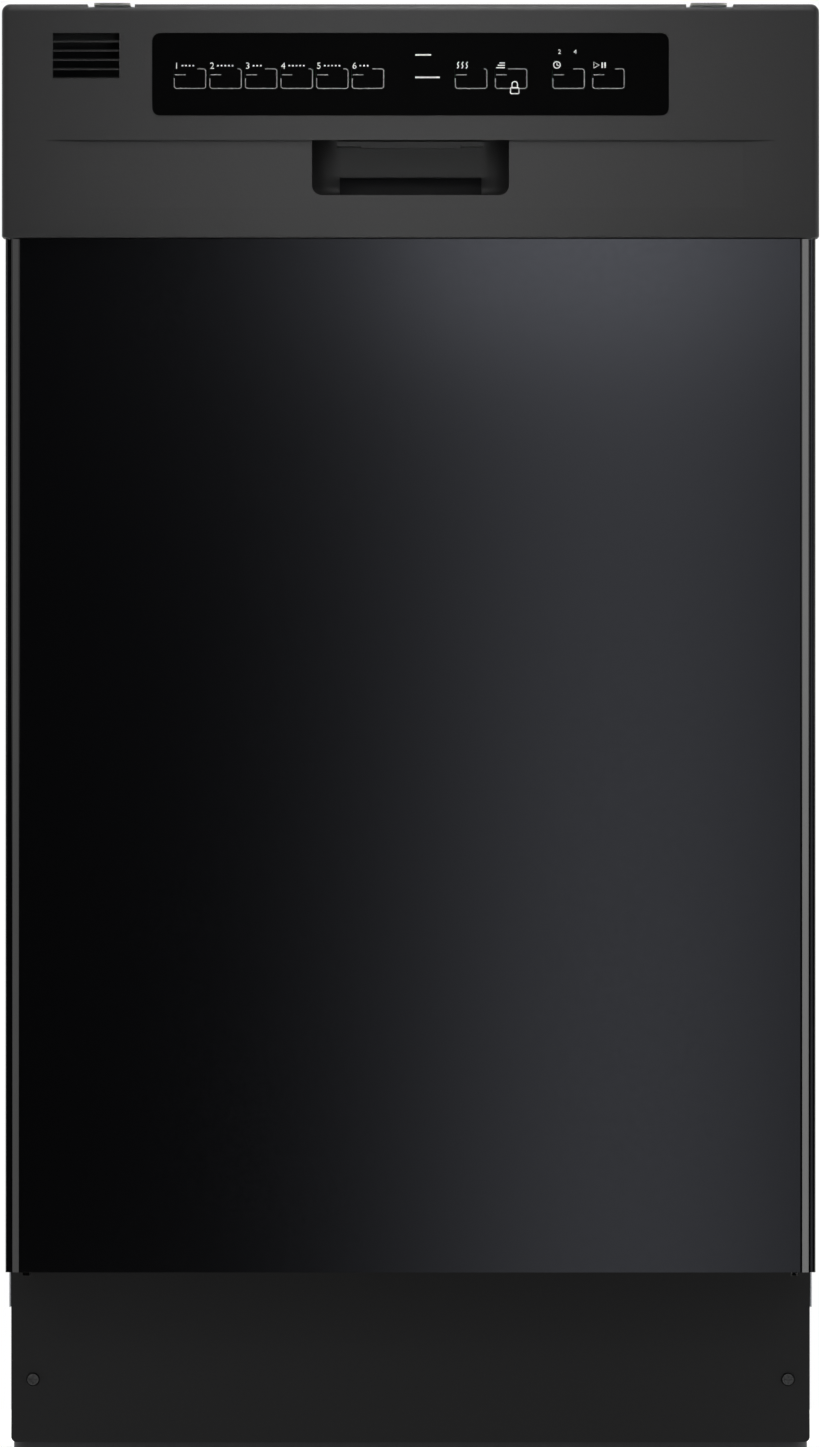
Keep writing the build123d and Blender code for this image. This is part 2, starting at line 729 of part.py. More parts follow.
def wire_panel(plane, width, height, columns, rows):
    pitch_x = (width - wire) / columns
    pitch_y = (height - wire) / rows
    with BuildPart() as panel:
        with BuildSketch(plane):
            Rectangle(width, height)
            with GridLocations(pitch_x, pitch_y, columns, rows):
                Rectangle(pitch_x - wire, pitch_y - wire, mode=Mode.SUBTRACT)
        extrude(amount=wire / 2, both=True)
    return panel.part


def wire_basket(half_width, floor_z, rim_z, columns, rows, levels):
    low = floor_z + wire / 2
    mid_z = (low + rim_z) / 2
    side_x = half_width - wire / 2
    across = 2 * (half_width - wire)
    pieces = [wire_panel(Plane((0, rack_mid_y, floor_z), x_dir=(1, 0, 0), z_dir=(0, 0, 1)),
                         2 * half_width, rack_depth, columns, rows)]
    for side in (-1, 1):
        plane = Plane((side * side_x, rack_mid_y, mid_z), x_dir=(0, 1, 0), z_dir=(1, 0, 0))
        pieces.append(wire_panel(plane, rack_depth, rim_z - low, rows, levels))
    for y in (rack_front_y + wire / 2, rack_back_y - wire / 2):
        plane = Plane((0, y, mid_z), x_dir=(1, 0, 0), z_dir=(0, -1, 0))
        pieces.append(wire_panel(plane, across, rim_z - low, columns, levels))
    return pieces


def tine_row(x, floor_z, height, count, start_y, end_y):
    low = floor_z + wire / 2
    mid_y = (start_y + end_y) / 2
    with BuildPart() as row:
        with BuildSketch(facing_right(x)):
            with Locations((mid_y, low + wire / 2)):
                Rectangle(end_y - start_y, wire)
            with Locations((mid_y, low + height / 2)):
                with GridLocations((end_y - start_y - wire) / (count - 1), 1, count, 1):
                    Rectangle(wire, height)
        extrude(amount=wire / 2, both=True)
    return row.part


# Upper rack
upper_half = tub_half - rail_depth - 6.0
upper_floor = 487.0
upper_rim = 602.0
upper_tine = 52.0

upper_rack = Compound(children=[
    *wire_basket(upper_half, upper_floor, upper_rim, 7, 8, 2),
    tine_row(-upper_half / 3, upper_floor, upper_tine, 8, rack_front_y + 30, rack_back_y - 30),
    tine_row(upper_half / 3, upper_floor, upper_tine, 8, rack_front_y + 30, rack_back_y - 30)])
save(upper_rack, "upper_rack")

# Upper rack glides that run in the rails
glide_length = 30.0
glide_inset = 42.0

with BuildPart() as upper_rack_glides:
    for side in (-1, 1):
        for y in (rack_front_y + glide_inset, rack_back_y - glide_inset):
            with BuildSketch(facing_right(side * upper_half)):
                with Locations((y, rail_z)):
                    RectangleRounded(glide_length, rail_height - 2 * rail_sheet - 2 * part_gap, 8)
            extrude(amount=side * (tub_half - rail_sheet - part_gap - upper_half))
save(upper_rack_glides.part, "upper_rack_glides")

# Water feed under the upper rack
feed_radius = 11.0
feed_hub = 15.0
feed_y = sump_y
dock_gap = 2.0
riser_depth = 16.0
nozzle_radius = 13.0
feed_z = upper_floor - wire / 2 - feed_radius - 3.0
upper_hub_z = feed_z - 16.0
spindle_radius = 7.0
spindle_length = 15.0

with BuildPart() as upper_feed:
    rod((0, feed_y, feed_z), (0, tub_back_y - riser_depth - dock_gap, feed_z), feed_radius)
    with Locations((0, feed_y, upper_hub_z)):
        Cylinder(feed_hub, upper_floor - wire / 2 - upper_hub_z,
                 align=(Align.CENTER, Align.CENTER, Align.MIN))
        Cylinder(spindle_radius, spindle_length, align=(Align.CENTER, Align.CENTER, Align.MAX))
    for y in (rack_mid_y + 60, rack_back_y - 20):
        block(-7, 7, y - 6, y + 6, feed_z, upper_floor - wire / 2)
save(upper_feed.part, "upper_feed")

# Riser pipe on the tub's back wall
riser_width = 34.0
riser_top = feed_z + 24.0
riser_wall = 2.0

with BuildPart() as riser_pipe:
    with BuildSketch(facing_up(tub_floor)):
        with Locations((0, tub_back_y - riser_depth / 2 + 2)):
            RectangleRounded(riser_width, riser_depth - 4, 5)
    extrude(amount=riser_top - tub_floor)
    rod((0, tub_back_y - 6, feed_z), (0, tub_back_y - riser_depth, feed_z), nozzle_radius)
    rod((0, tub_back_y - 8, feed_z), (0, tub_back_y - riser_depth - 1, feed_z), nozzle_radius - riser_wall,
        Mode.SUBTRACT)
save(riser_pipe.part, "riser_pipe")

# Spray arms, flat blades with a hub below or above
arm_length = 166.0
arm_tip = 12.0
arm_middle = 24.0
arm_thick = 9.0
jet_length = 9.0
jet_width = 2.0
lower_arm_z = tub_floor + 12.0
lower_hub = 15.0


def spray_blade(z, rise):
    with BuildSketch(facing_up(z)) as outline:
        with Locations((0, sump_y)):
            Circle(arm_middle)
        with Locations((-arm_length + arm_tip, sump_y), (arm_length - arm_tip, sump_y)):
            Circle(arm_tip)
        make_hull()
    extrude(outline.sketch, amount=arm_thick, taper=14 * rise)


def jets(z):
    for index, reach in enumerate((45, 78, 108, 136)):
        for side in (-1, 1):
            with Locations((side * (reach + 6 * (side > 0)), sump_y + (-1) ** index * 4, z)):
                Box(jet_width, jet_length, 2.4, mode=Mode.SUBTRACT)


with BuildPart() as lower_spray_arm:
    spray_blade(lower_arm_z, 1)
    with Locations((0, sump_y, lower_arm_z - 3)):
        Cylinder(lower_hub, arm_thick + 6, align=(Align.CENTER, Align.CENTER, Align.MIN))
    jets(lower_arm_z + arm_thick)
    with Locations((0, sump_y, lower_arm_z - 4)):
        Cylinder(post_radius + running_gap, post_top + part_gap - lower_arm_z + 4,
                 align=(Align.CENTER, Align.CENTER, Align.MIN), mode=Mode.SUBTRACT)
save(lower_spray_arm.part, "lower_spray_arm")

upper_arm_z = upper_hub_z - part_gap - 4.0 - arm_thick

with BuildPart() as upper_spray_arm:
    spray_blade(upper_arm_z, 1)
    with Locations((0, sump_y, upper_arm_z - 5)):
        Cylinder(lower_hub, arm_thick + 9, align=(Align.CENTER, Align.CENTER, Align.MIN))
    jets(upper_arm_z + arm_thick)
    with Locations((0, sump_y, upper_hub_z - spindle_length - part_gap)):
        Cylinder(spindle_radius + running_gap, spindle_length + 10,
                 align=(Align.CENTER, Align.CENTER, Align.MIN), mode=Mode.SUBTRACT)
save(upper_spray_arm.part, "upper_spray_arm")

# Lower rack with axle blocks
wheel_radius = 18.0
wheel_width = 10.0
wheel_inset = 90.0
axle_radius = 3.5
wheel_x = tub_half - tub_corner - 1.0 - wheel_width / 2
lower_half = wheel_x - wheel_width / 2 - 2.5
wheel_z = tub_floor + part_gap + wheel_radius
lower_floor = wheel_z + 12.0
lower_rim = 300.0
lower_tine = 92.0
axle_end = wheel_x + wheel_width / 2 + 2.0
wheel_front_y = rack_front_y + wheel_inset
wheel_rear_y = rack_back_y - wheel_inset


def axle(side, y):
    with BuildPart() as pin:
        block(side * (lower_half - 10), side * lower_half, y - 8, y + 8,
              wheel_z - 6, lower_floor - wire / 2)
        rod((side * lower_half, y, wheel_z), (side * axle_end, y, wheel_z), axle_radius)
        rod((side * (axle_end - 1.6), y, wheel_z), (side * axle_end, y, wheel_z), axle_radius + 1.5)
    return pin.part


lower_rack = Compound(children=[
    *wire_basket(lower_half, lower_floor, lower_rim, 7, 8, 2),
    *[axle(side, y) for side in (-1, 1) for y in (wheel_front_y, wheel_rear_y)],
    tine_row(-lower_half * 0.62, lower_floor, lower_tine, 9, rack_front_y + 24, rack_back_y - 24),
    tine_row(-lower_half * 0.26, lower_floor, lower_tine, 9, rack_front_y + 24, rack_back_y - 24),
    tine_row(lower_half * 0.1, lower_floor, lower_tine, 9, rack_front_y + 24, rack_back_y - 24)])
save(lower_rack, "lower_rack")


def wheel_pair(label, y):
    with BuildPart() as wheels:
        for side in (-1, 1):
            low = side * (wheel_x - wheel_width / 2)
            high = side * (wheel_x + wheel_width / 2)
            rod((low, y, wheel_z), (high, y, wheel_z), wheel_radius)
            rod((low - side, y, wheel_z), (low + side * 2.5, y, wheel_z), wheel_radius - 4, Mode.SUBTRACT)
            rod((high + side, y, wheel_z), (high - side * 2.5, y, wheel_z), wheel_radius - 4, Mode.SUBTRACT)
            rod((low + side * 0.4, y, wheel_z), (high - side * 0.4, y, wheel_z), axle_radius + 3)
            rod((low - side, y, wheel_z), (high + side, y, wheel_z), axle_radius + running_gap,
                Mode.SUBTRACT)
            for angle in range(0, 360, 60):
                hole = Location((0, y, wheel_z), (angle, 0, 0)) * Location((0, 10.2, 0))
                centre = hole.position
                rod((low - side, centre.Y, centre.Z), (high + side, centre.Y, centre.Z), 2.2, Mode.SUBTRACT)
    save(wheels.part, label)


wheel_pair("lower_wheels_front", wheel_front_y)
wheel_pair("lower_wheels_rear", wheel_rear_y)

# Cutlery basket standing in the lower rack
basket_width = 88.0
basket_depth = 214.0
basket_height = 112.0
basket_wall = 2.4
basket_low = lower_floor + wire / 2
basket_x = lower_half - wire - 3.0 - basket_width / 2
basket_y = rack_front_y + wire + 18.0 + basket_depth / 2
basket_handle = 66.0
basket_slots = 7
slot_width = 6.5
slot_height = 36.0
slot_pitch = 13.0

basket_in = basket_width - 2 * basket_wall
basket_top = basket_low + basket_height
wall_low = basket_low + basket_wall
wall_mid_z = (wall_low + basket_top) / 2
wall_height = basket_top - wall_low
bar_thick = 8.0
bar_depth = 10.0


def slotted_panel(plane, width, height, columns, rows):
    with BuildPart() as panel:
        with BuildSketch(plane):
            Rectangle(width, height)
            with GridLocations(slot_pitch, slot_height + 8, columns, rows):
                Rectangle(slot_width, slot_height, mode=Mode.SUBTRACT)
        extrude(amount=basket_wall / 2, both=True)
    return panel.part


def basket_bar(x0, x1, z0, z1):
    with BuildPart() as bar:
        block(x0, x1, basket_y - bar_depth / 2, basket_y + bar_depth / 2, z0, z1)
    return bar.part


basket_right = basket_x + basket_width / 2
basket_left = basket_x - basket_width / 2
handle_top = basket_top + basket_handle
wall_reach = (basket_depth - basket_wall) / 2

basket_panels = [slotted_panel(Plane((basket_x, basket_y, basket_low + basket_wall / 2)),
                               basket_width, basket_depth, 6, 4)]
for wall_x in (basket_left + basket_wall / 2, basket_right - basket_wall / 2):
    plane = Plane((wall_x, basket_y, wall_mid_z), x_dir=(0, 1, 0), z_dir=(1, 0, 0))
    basket_panels.append(slotted_panel(plane, basket_depth, wall_height, 2 * basket_slots, 2))
for wall_y in (basket_y - wall_reach, basket_y, basket_y + wall_reach):
    plane = Plane((basket_x, wall_y, wall_mid_z), x_dir=(1, 0, 0), z_dir=(0, -1, 0))
    basket_panels.append(slotted_panel(plane, basket_in, wall_height, 5, 2))
basket_panels.append(basket_bar(basket_left, basket_left + bar_thick, basket_top, handle_top))
basket_panels.append(basket_bar(basket_right - bar_thick, basket_right, basket_top, handle_top))
basket_panels.append(basket_bar(basket_left + bar_thick, basket_right - bar_thick,
                                handle_top - bar_thick, handle_top))
cutlery_basket = Compound(children=basket_panels)
save(cutlery_basket, "cutlery_basket")

# Door outer panel, one sheet with bevelled long sides and folded returns
field_half = 214.3
bevel_width = 4.4
bevel_depth = 4.5
bend_radius = 1.6
door_return = 38.0
bottom_flange = 36.0
corner_notch = arm_in - 8.0
door_half = door_width / 2
door_top = console_bottom - door_reveal
return_y = door_face_y + bevel_depth + door_return
bevel_y = door_face_y + bevel_depth

with BuildPart() as door_panel:
    with BuildSketch(facing_up(door_bottom)):
        with BuildLine():
            FilletPolyline((-door_half, return_y), (-door_half, bevel_y),
                           (-field_half - bevel_width, bevel_y),
                           (-field_half, door_face_y), (field_half, door_face_y),
                           (field_half + bevel_width, bevel_y), (door_half, bevel_y), (door_half, return_y),
                           radius=bend_radius)
            offset(amount=door_sheet, side=Side.LEFT)
        make_face()
    extrude(amount=door_top - door_bottom)
    block(-field_half + 4, field_half - 4, door_face_y + door_sheet / 2, door_face_y + bottom_flange,
          door_bottom, door_bottom + door_sheet)
    for side in (-1, 1):
        block(side * corner_notch, side * (field_half + 1), door_face_y + door_sheet * 2,
              door_face_y + bottom_flange + 1, door_bottom - 1, door_bottom + 2 * door_sheet, Mode.SUBTRACT)
save(door_panel.part, "door_panel")

# Door liner of stainless sheet, with a recessed field and cut-outs
liner_inset = 3.9
liner_half = door_half - liner_inset
liner_bottom = door_bottom + 3.5
liner_top_drop = 11.5
liner_top = overall_height - liner_top_drop
liner_return = 34.0
notch_top = hinge_z + 40.0
notch_in = flange_half + 0.2
recess_half = 158.0
recess_low = 236.0
recess_drop = 152.0
recess_high = liner_top - recess_drop
recess_depth = 9.0
recess_corner = 18.0
recess_draft = 20.0
case_half = 24.0
case_above_hook = 5.0
case_height = 28.0
case_high = hook_z + case_above_hook
case_low = case_high - case_height

disp_x = 0.0
disp_z = 420.0
disp_width = 142.0
disp_height = 158.0
disp_plate = 5.0
disp_body_inset = 11.0
disp_body_depth = 26.0
disp_hole_gap = 0.4
recess_floor_y = liner_y - recess_depth

grille_width = 36.4
grille_x = -177.7
grille_drop = 15.9
grille_top = console_top - grille_drop
grille_pitch = 5.07
grille_count = 5
grille_height = grille_pitch * grille_count
duct_margin = 4.0
duct_wall = 2.0
duct_drop = 75.5
duct_low = console_top - duct_drop
vent_drop = 69.5
vent_low = console_top - vent_drop
vent_height = 26.0
vent_clear = 3.0

with BuildPart() as door_liner:
    block(-liner_half, liner_half, liner_y - liner_sheet, liner_y, liner_bottom, liner_top)
    for side in (-1, 1):
        block(side * (liner_half - liner_sheet), side * liner_half, liner_y - liner_return, liner_y,
              notch_top, liner_top)
    block(-liner_half, liner_half, liner_y - liner_return, liner_y, liner_top - liner_sheet, liner_top)
    for depth, mode in ((liner_sheet, Mode.ADD), (0.0, Mode.SUBTRACT)):
        with BuildSketch(facing_front(liner_y - depth)):
            with Locations((0, (recess_low + recess_high) / 2)):
                RectangleRounded(2 * recess_half, recess_high - recess_low, recess_corner)
        extrude(amount=recess_depth, taper=recess_draft, mode=mode)
    with BuildSketch(facing_front(liner_y + 1)):
        with Locations((disp_x, disp_z)):
            RectangleRounded(disp_width - 2 * disp_body_inset + 2 * disp_hole_gap,
                             disp_height - 2 * disp_body_inset + 2 * disp_hole_gap, 8)
        with Locations((grille_x, vent_low + vent_height / 2)):
            Rectangle(grille_width + 2 * vent_clear, vent_height + 2 * vent_clear)
    extrude(amount=recess_depth + 10, mode=Mode.SUBTRACT)
    for side in (-1, 1):
        block(side * notch_in, side * (liner_half + 1), liner_y - liner_return - 1, liner_y + 1,
              liner_bottom - 1, notch_top, Mode.SUBTRACT)
    block(-case_half - part_gap, case_half + part_gap, liner_y - liner_return - 1, liner_y + 1,
          case_low - part_gap, liner_top + 1, Mode.SUBTRACT)
save(door_liner.part, "door_liner")

# Detergent dispenser set into the liner's recess
cup_side = 60.0
cup_deep = 27.0
disp_cup_x = disp_x - 26.0
disp_cup_z = disp_z + 36.0
cover_side = 68.0
cover_thick = 2.2
cover_travel = 66.0
guide_width = 2.4
guide_lip = 1.4
guide_lip_thick = 1.2
cap_x = disp_x + 42.0
cap_z = disp_z + 36.0
cap_radius = 16.0
cap_sink = 3.0
disp_face_y = recess_floor_y + disp_plate
guide_height = part_gap + cover_thick + part_gap

with BuildPart() as dispenser_body:
    with BuildSketch(facing_front(disp_face_y)):
        with Locations((disp_x, disp_z)):
            RectangleRounded(disp_width, disp_height, 10)
    extrude(amount=disp_plate)
    with BuildSketch(facing_front(recess_floor_y)):
        with Locations((disp_x, disp_z)):
            RectangleRounded(disp_width - 2 * disp_body_inset, disp_height - 2 * disp_body_inset, 8)
    extrude(amount=disp_body_depth)
    for side in (-1, 1):
        edge = disp_cup_x + side * (cover_side / 2 + part_gap)
        block(edge, edge + side * guide_width, disp_face_y, disp_face_y + guide_height + guide_lip_thick,
              disp_z - disp_height / 2 + 8, disp_z + disp_height / 2 - 8)
        block(edge - side * guide_lip, edge, disp_face_y + guide_height,
              disp_face_y + guide_height + guide_lip_thick,
              disp_z - disp_height / 2 + 8, disp_z + disp_height / 2 - 8)
    with BuildSketch(facing_front(disp_face_y + 1)):
        with Locations((disp_cup_x, disp_cup_z)):
            RectangleRounded(cup_side, cup_side, 8)
    extrude(amount=cup_deep + 1, mode=Mode.SUBTRACT)
    rod((cap_x, disp_face_y + 1, cap_z), (cap_x, disp_face_y - cap_sink, cap_z), cap_radius + part_gap,
        Mode.SUBTRACT)
save(dispenser_body.part, "dispenser_body")

with BuildPart() as dispenser_cover:
    with BuildSketch(facing_front(disp_face_y + part_gap + cover_thick)):
        with Locations((disp_cup_x, disp_cup_z)):
            Rectangle(cover_side, cover_side)
    extrude(amount=cover_thick)
    with Locations((disp_cup_x, disp_face_y + part_gap + cover_thick, disp_cup_z - cover_side / 2 + 12)):
        Box(26, 3.0, 5)
save(dispenser_cover.part, "dispenser_cover")

with BuildPart() as rinse_aid_cap:
    rod((cap_x, disp_face_y - cap_sink + part_gap, cap_z), (cap_x, disp_face_y + 1.4, cap_z), cap_radius)
    block(cap_x - cap_radius + 3, cap_x + cap_radius - 3, disp_face_y + 1.4, disp_face_y + 4.4,
          cap_z - 2.5, cap_z + 2.5)
save(rinse_aid_cap.part, "rinse_aid_cap")

# Console moulding with brow, handle pocket, key windows and vent grille
console_depth = 42.0
console_corner = 4.6
console_edge = 4.0
console_lower_edge = 1.0
overlay_width = 283.0
overlay_height = 45.2
overlay_drop = 38.5
overlay_z = console_top - overlay_drop
overlay_corner = 4.4
overlay_thick = 1.0
overlay_sink = 0.4
key_width = 17.8
key_height = 11.3
key_drop = 40.9
key_z = console_top - key_drop
key_gap = 0.2
key_corner = 1.4
key_flange = 1.2
key_flange_thick = 1.0
key_back_gap = 0.05
key_x = (-120.8, -101.3, -81.8, -62.3, -42.8, -23.3, 33.2, 55.1, 86.6, 108.4)
key_names = ("cycle_1", "cycle_2", "cycle_3", "cycle_4", "cycle_5", "cycle_6",
             "option_heat", "option_dry", "option_delay", "option_start")
brow_drop = 74.5
brow_z = console_top - brow_drop
scoop_height = 37.0
scoop_low = brow_z - scoop_height
scoop_depth = 1.5
scoop_half = 182.0
scoop_fade = 18.0
pocket_half = 54.0
pocket_height = 30.2
pocket_low = brow_z - pocket_height
pocket_depth = 31.0
pocket_corner = 5.5
pocket_round = 16.0
pocket_wall = 2.4
trough_half = 39.0
trough_height = 10.2
trough_top = pocket_low + trough_height
trough_depth = 12.0
brow_rise = 9.0
notch_width = 26.0
notch_drop = 2.2
boss_radius = 4.0
board_gap = 6.0
console_back_y = front_y + console_depth
console_half = console_width / 2
console_in_y = front_y + console_wall
pocket_back_y = front_y + pocket_depth
pocket_top = brow_z + brow_rise
board_y = console_in_y + board_gap
paddle_pin = 2.0
paddle_pivot_y = pocket_back_y - 7.0
paddle_pivot_z = brow_z + 3.6
board_width = 276.0
board_height = 38.0
board_z = overlay_z + 1.5

with BuildPart() as pocket_space:
    with BuildSketch(facing_front(pocket_back_y)):
        with Locations((0, (pocket_low + pocket_top) / 2)):
            Rectangle(2 * pocket_half, pocket_top - pocket_low)
    extrude(amount=pocket_depth - console_wall)
    fillet(pocket_space.edges().filter_by(Axis.Z).sort_by(Axis.Y)[-2:], pocket_round)
    fillet(pocket_space.edges().group_by(Axis.Z)[0].sort_by(Axis.Y)[-3:], 5.0)
    block(-trough_half, trough_half, pocket_back_y - 6, pocket_back_y + trough_depth, pocket_low, trough_top)

with BuildPart() as console:
    with BuildSketch(facing_front(console_back_y)) as console_outline:
        with Locations((0, (console_bottom + console_top) / 2)):
            Rectangle(console_width, console_top - console_bottom)
        fillet(console_outline.vertices().group_by(Axis.Y)[-1], console_corner)
    extrude(amount=console_depth)
    front_edges = console.faces().sort_by(Axis.Y)[0].edges().sort_by(Axis.Z)
    fillet(front_edges[1:], console_edge)
    fillet(console.edges().filter_by(Axis.X).group_by(Axis.Z)[0].sort_by(Axis.Y)[0], console_lower_edge)
    block(-console_half + console_wall, console_half - console_wall, console_in_y, console_back_y + 1,
          console_bottom + console_wall, console_top - console_wall, Mode.SUBTRACT)
    with BuildSketch(facing_front(console_in_y)):
        with Locations((0, (pocket_low + pocket_top) / 2)):
            RectangleRounded(2 * (pocket_half + pocket_wall), pocket_top - pocket_low + 2 * pocket_wall, 4)
    extrude(amount=-(pocket_depth - console_wall + pocket_wall))
    block(-trough_half - pocket_wall, trough_half + pocket_wall, pocket_back_y,
          pocket_back_y + trough_depth + pocket_wall, pocket_low - pocket_wall, trough_top + pocket_wall)
    add(pocket_space.part, mode=Mode.SUBTRACT)
    with BuildSketch(facing_front(front_y - 1)) as pocket_mouth:
        with Locations((0, (pocket_low + brow_z) / 2)):
            Rectangle(2 * pocket_half, brow_z - pocket_low)
        fillet(pocket_mouth.vertices().group_by(Axis.Y)[0], pocket_corner)
    extrude(amount=-(console_wall + 3), mode=Mode.SUBTRACT)
    for x, depth in ((-scoop_half - scoop_fade, 0.05), (-scoop_half, scoop_depth),
                     (scoop_half, scoop_depth),
                     (scoop_half + scoop_fade, 0.05)):
        with BuildSketch(facing_right(x)):
            with BuildLine():
                Polyline((front_y - 1, brow_z), (front_y + depth, brow_z), (front_y, scoop_low),
                         (front_y - 1, scoop_low), close=True)
            make_face()
    loft(ruled=True, mode=Mode.SUBTRACT)
    with BuildSketch(facing_front(front_y + overlay_sink + overlay_thick)):
        with Locations((0, overlay_z)):
            RectangleRounded(overlay_width + 0.2, overlay_height + 0.2, overlay_corner)
    extrude(amount=overlay_sink + overlay_thick + 1, mode=Mode.SUBTRACT)
    with BuildSketch(facing_front(front_y - 1)):
        with Locations([(x, key_z) for x in key_x]):
            RectangleRounded(key_width + 2 * key_gap, key_height + 2 * key_gap, key_corner)
    extrude(amount=-(console_wall + 2), mode=Mode.SUBTRACT)
    for number in range(grille_count):
        top = grille_top - number * grille_pitch
        with BuildSketch(facing_right(grille_x - grille_width / 2)):
            with BuildLine():
                Polyline((front_y - 0.5, top), (console_in_y + 0.5, top),
                         (console_in_y + 0.5, top - grille_pitch * 0.7),
                         (front_y - 0.5, top - grille_pitch * 0.94), close=True)
            make_face()
        extrude(amount=grille_width, mode=Mode.SUBTRACT)
    for side in (-1, 1):
        block(side * bracket_x - notch_width / 2, side * bracket_x + notch_width / 2, front_y - 1,
              console_back_y + 1, console_top - notch_drop, console_top + 1, Mode.SUBTRACT)
    block(-console_half + console_wall, console_half - console_wall, liner_y - liner_return - 1,
          console_back_y + 1, console_bottom - 1, console_bottom + console_wall + 1, Mode.SUBTRACT)
    rod((-pocket_half - pocket_wall - 1, paddle_pivot_y, paddle_pivot_z),
        (pocket_half + pocket_wall + 1, paddle_pivot_y, paddle_pivot_z), paddle_pin + running_gap,
        Mode.SUBTRACT)
    for x in (-board_width / 2 + 6, board_width / 2 - 6):
        for z in (board_z - board_height / 2 + 5, board_z + board_height / 2 - 5):
            rod((x, console_in_y, z), (x, board_y, z), boss_radius)
save(console.part, "console")

# Touch overlay with windows for the keys
with BuildPart() as touch_overlay:
    with BuildSketch(facing_front(front_y + overlay_sink + overlay_thick)):
        with Locations((0, overlay_z)):
            RectangleRounded(overlay_width, overlay_height, overlay_corner - 0.1)
        with Locations([(x, key_z) for x in key_x]):
            RectangleRounded(key_width + 2 * key_gap, key_height + 2 * key_gap, key_corner,
                             mode=Mode.SUBTRACT)
    extrude(amount=overlay_thick)
save(touch_overlay.part, "touch_overlay")

# Keys, each a cap with a retaining flange behind the console wall
for label, x in zip(key_names, key_x):
    with BuildPart() as key:
        with BuildSketch(facing_front(console_in_y + key_back_gap)):
            with Locations((x, key_z)):
                RectangleRounded(key_width, key_height, key_corner)
        extrude(amount=console_wall + key_back_gap - overlay_sink)
        block(x - key_width / 2, x + key_width / 2, console_in_y + key_back_gap,
              console_in_y + key_back_gap + key_flange_thick, key_z - key_height / 2 - key_flange,
              key_z + key_height / 2 + key_flange)
    save(key.part, "key_" + label)

# Control board with one switch behind each key
board_thick = 1.6
switch_side = 6.0
switch_gap = 1.0

with BuildPart() as control_board:
    with BuildSketch(facing_front(board_y + board_thick)):
        with Locations((0, board_z)):
            Rectangle(board_width, board_height)
    extrude(amount=board_thick)
    for x in key_x:
        block(x - switch_side / 2, x + switch_side / 2,
              console_in_y + key_back_gap + key_flange_thick + switch_gap, board_y,
              key_z - switch_side / 2, key_z + switch_side / 2)
    for x, width, height in ((-96, 34, 12), (-30, 22, 16), (84, 46, 12)):
        block(x - width / 2, x + width / 2, board_y + board_thick, board_y + board_thick + 7,
              board_z - 6 - height / 2, board_z - 6 + height / 2)
save(control_board.part, "control_board")

# Vent duct from the grille to the liner
duct_half = grille_width / 2 + duct_margin
duct_top = grille_top + duct_margin - 1.0

with BuildPart() as vent_duct:
    block(grille_x - duct_half, grille_x + duct_half, console_in_y, liner_y - liner_sheet,
          duct_low, duct_top)
    block(grille_x - duct_half + duct_wall, grille_x + duct_half - duct_wall, console_in_y + duct_wall,
          liner_y - liner_sheet - duct_wall, duct_low + duct_wall, duct_top - duct_wall, Mode.SUBTRACT)
    block(grille_x - grille_width / 2, grille_x + grille_width / 2,
          console_in_y - 1, console_in_y + duct_wall + 1,
          grille_top - grille_height, grille_top, Mode.SUBTRACT)
    block(grille_x - grille_width / 2, grille_x + grille_width / 2,
          liner_y - liner_sheet - duct_wall - 1, liner_y,
          vent_low, vent_low + vent_height, Mode.SUBTRACT)
save(vent_duct.part, "vent_duct")

# Release paddle under the brow, hung on two pins in the pocket's side walls
paddle_half = 40.0
paddle_tab_half = 27.0
paddle_front_y = front_y + console_wall + 3.0
paddle_low = brow_z - 3.4
paddle_high = brow_z - 0.8

with BuildPart() as release_paddle:
    block(-paddle_half, paddle_half, paddle_front_y, paddle_pivot_y + 1, paddle_low, paddle_high)
    block(-paddle_tab_half, paddle_tab_half, paddle_front_y, paddle_front_y + 8,
          paddle_low - 0.9, paddle_low)
    block(-paddle_half, paddle_half, paddle_pivot_y - 3, paddle_pivot_y + 1, paddle_low, paddle_pivot_z)
    rod((-paddle_half, paddle_pivot_y, paddle_pivot_z), (paddle_half, paddle_pivot_y, paddle_pivot_z),
        paddle_pin + 1)
    rod((-pocket_half - pocket_wall, paddle_pivot_y, paddle_pivot_z),
        (pocket_half + pocket_wall, paddle_pivot_y, paddle_pivot_z), paddle_pin)
save(release_paddle.part, "release_paddle")

# Latch case at the top of the door and its hook
case_front_y = console_back_y - 16.0
case_back_y = liner_y
case_wall = 2.0
hook_half = 3.0
hook_pivot_y = case_front_y + 16.0
hook_pivot_z = hook_z - 5.0
hook_pin = 2.5
hook_hub = 4.9
hook_tip_y = keeper_y + keeper_thick + 4.0

with BuildPart() as latch_case:
    block(-case_half, case_half, case_front_y, case_back_y, case_low, case_high)
    block(-case_half + case_wall, case_half - case_wall, case_front_y + case_wall, case_back_y + 1,
          case_low + case_wall, case_high - case_wall, Mode.SUBTRACT)
    block(-hook_half - 1.5, hook_half + 1.5, hook_pivot_y + 2, case_back_y + 1, case_high - case_wall - 1,
          case_high + 1, Mode.SUBTRACT)
    for side in (-1, 1):
        rod((side * (hook_half + part_gap), hook_pivot_y, hook_pivot_z),
            (side * (case_half - case_wall), hook_pivot_y, hook_pivot_z), hook_pin + 1.5)
    rod((-case_half + case_wall, hook_pivot_y, hook_pivot_z),
        (case_half - case_wall, hook_pivot_y, hook_pivot_z),
        hook_pin)
save(latch_case.part, "latch_case")

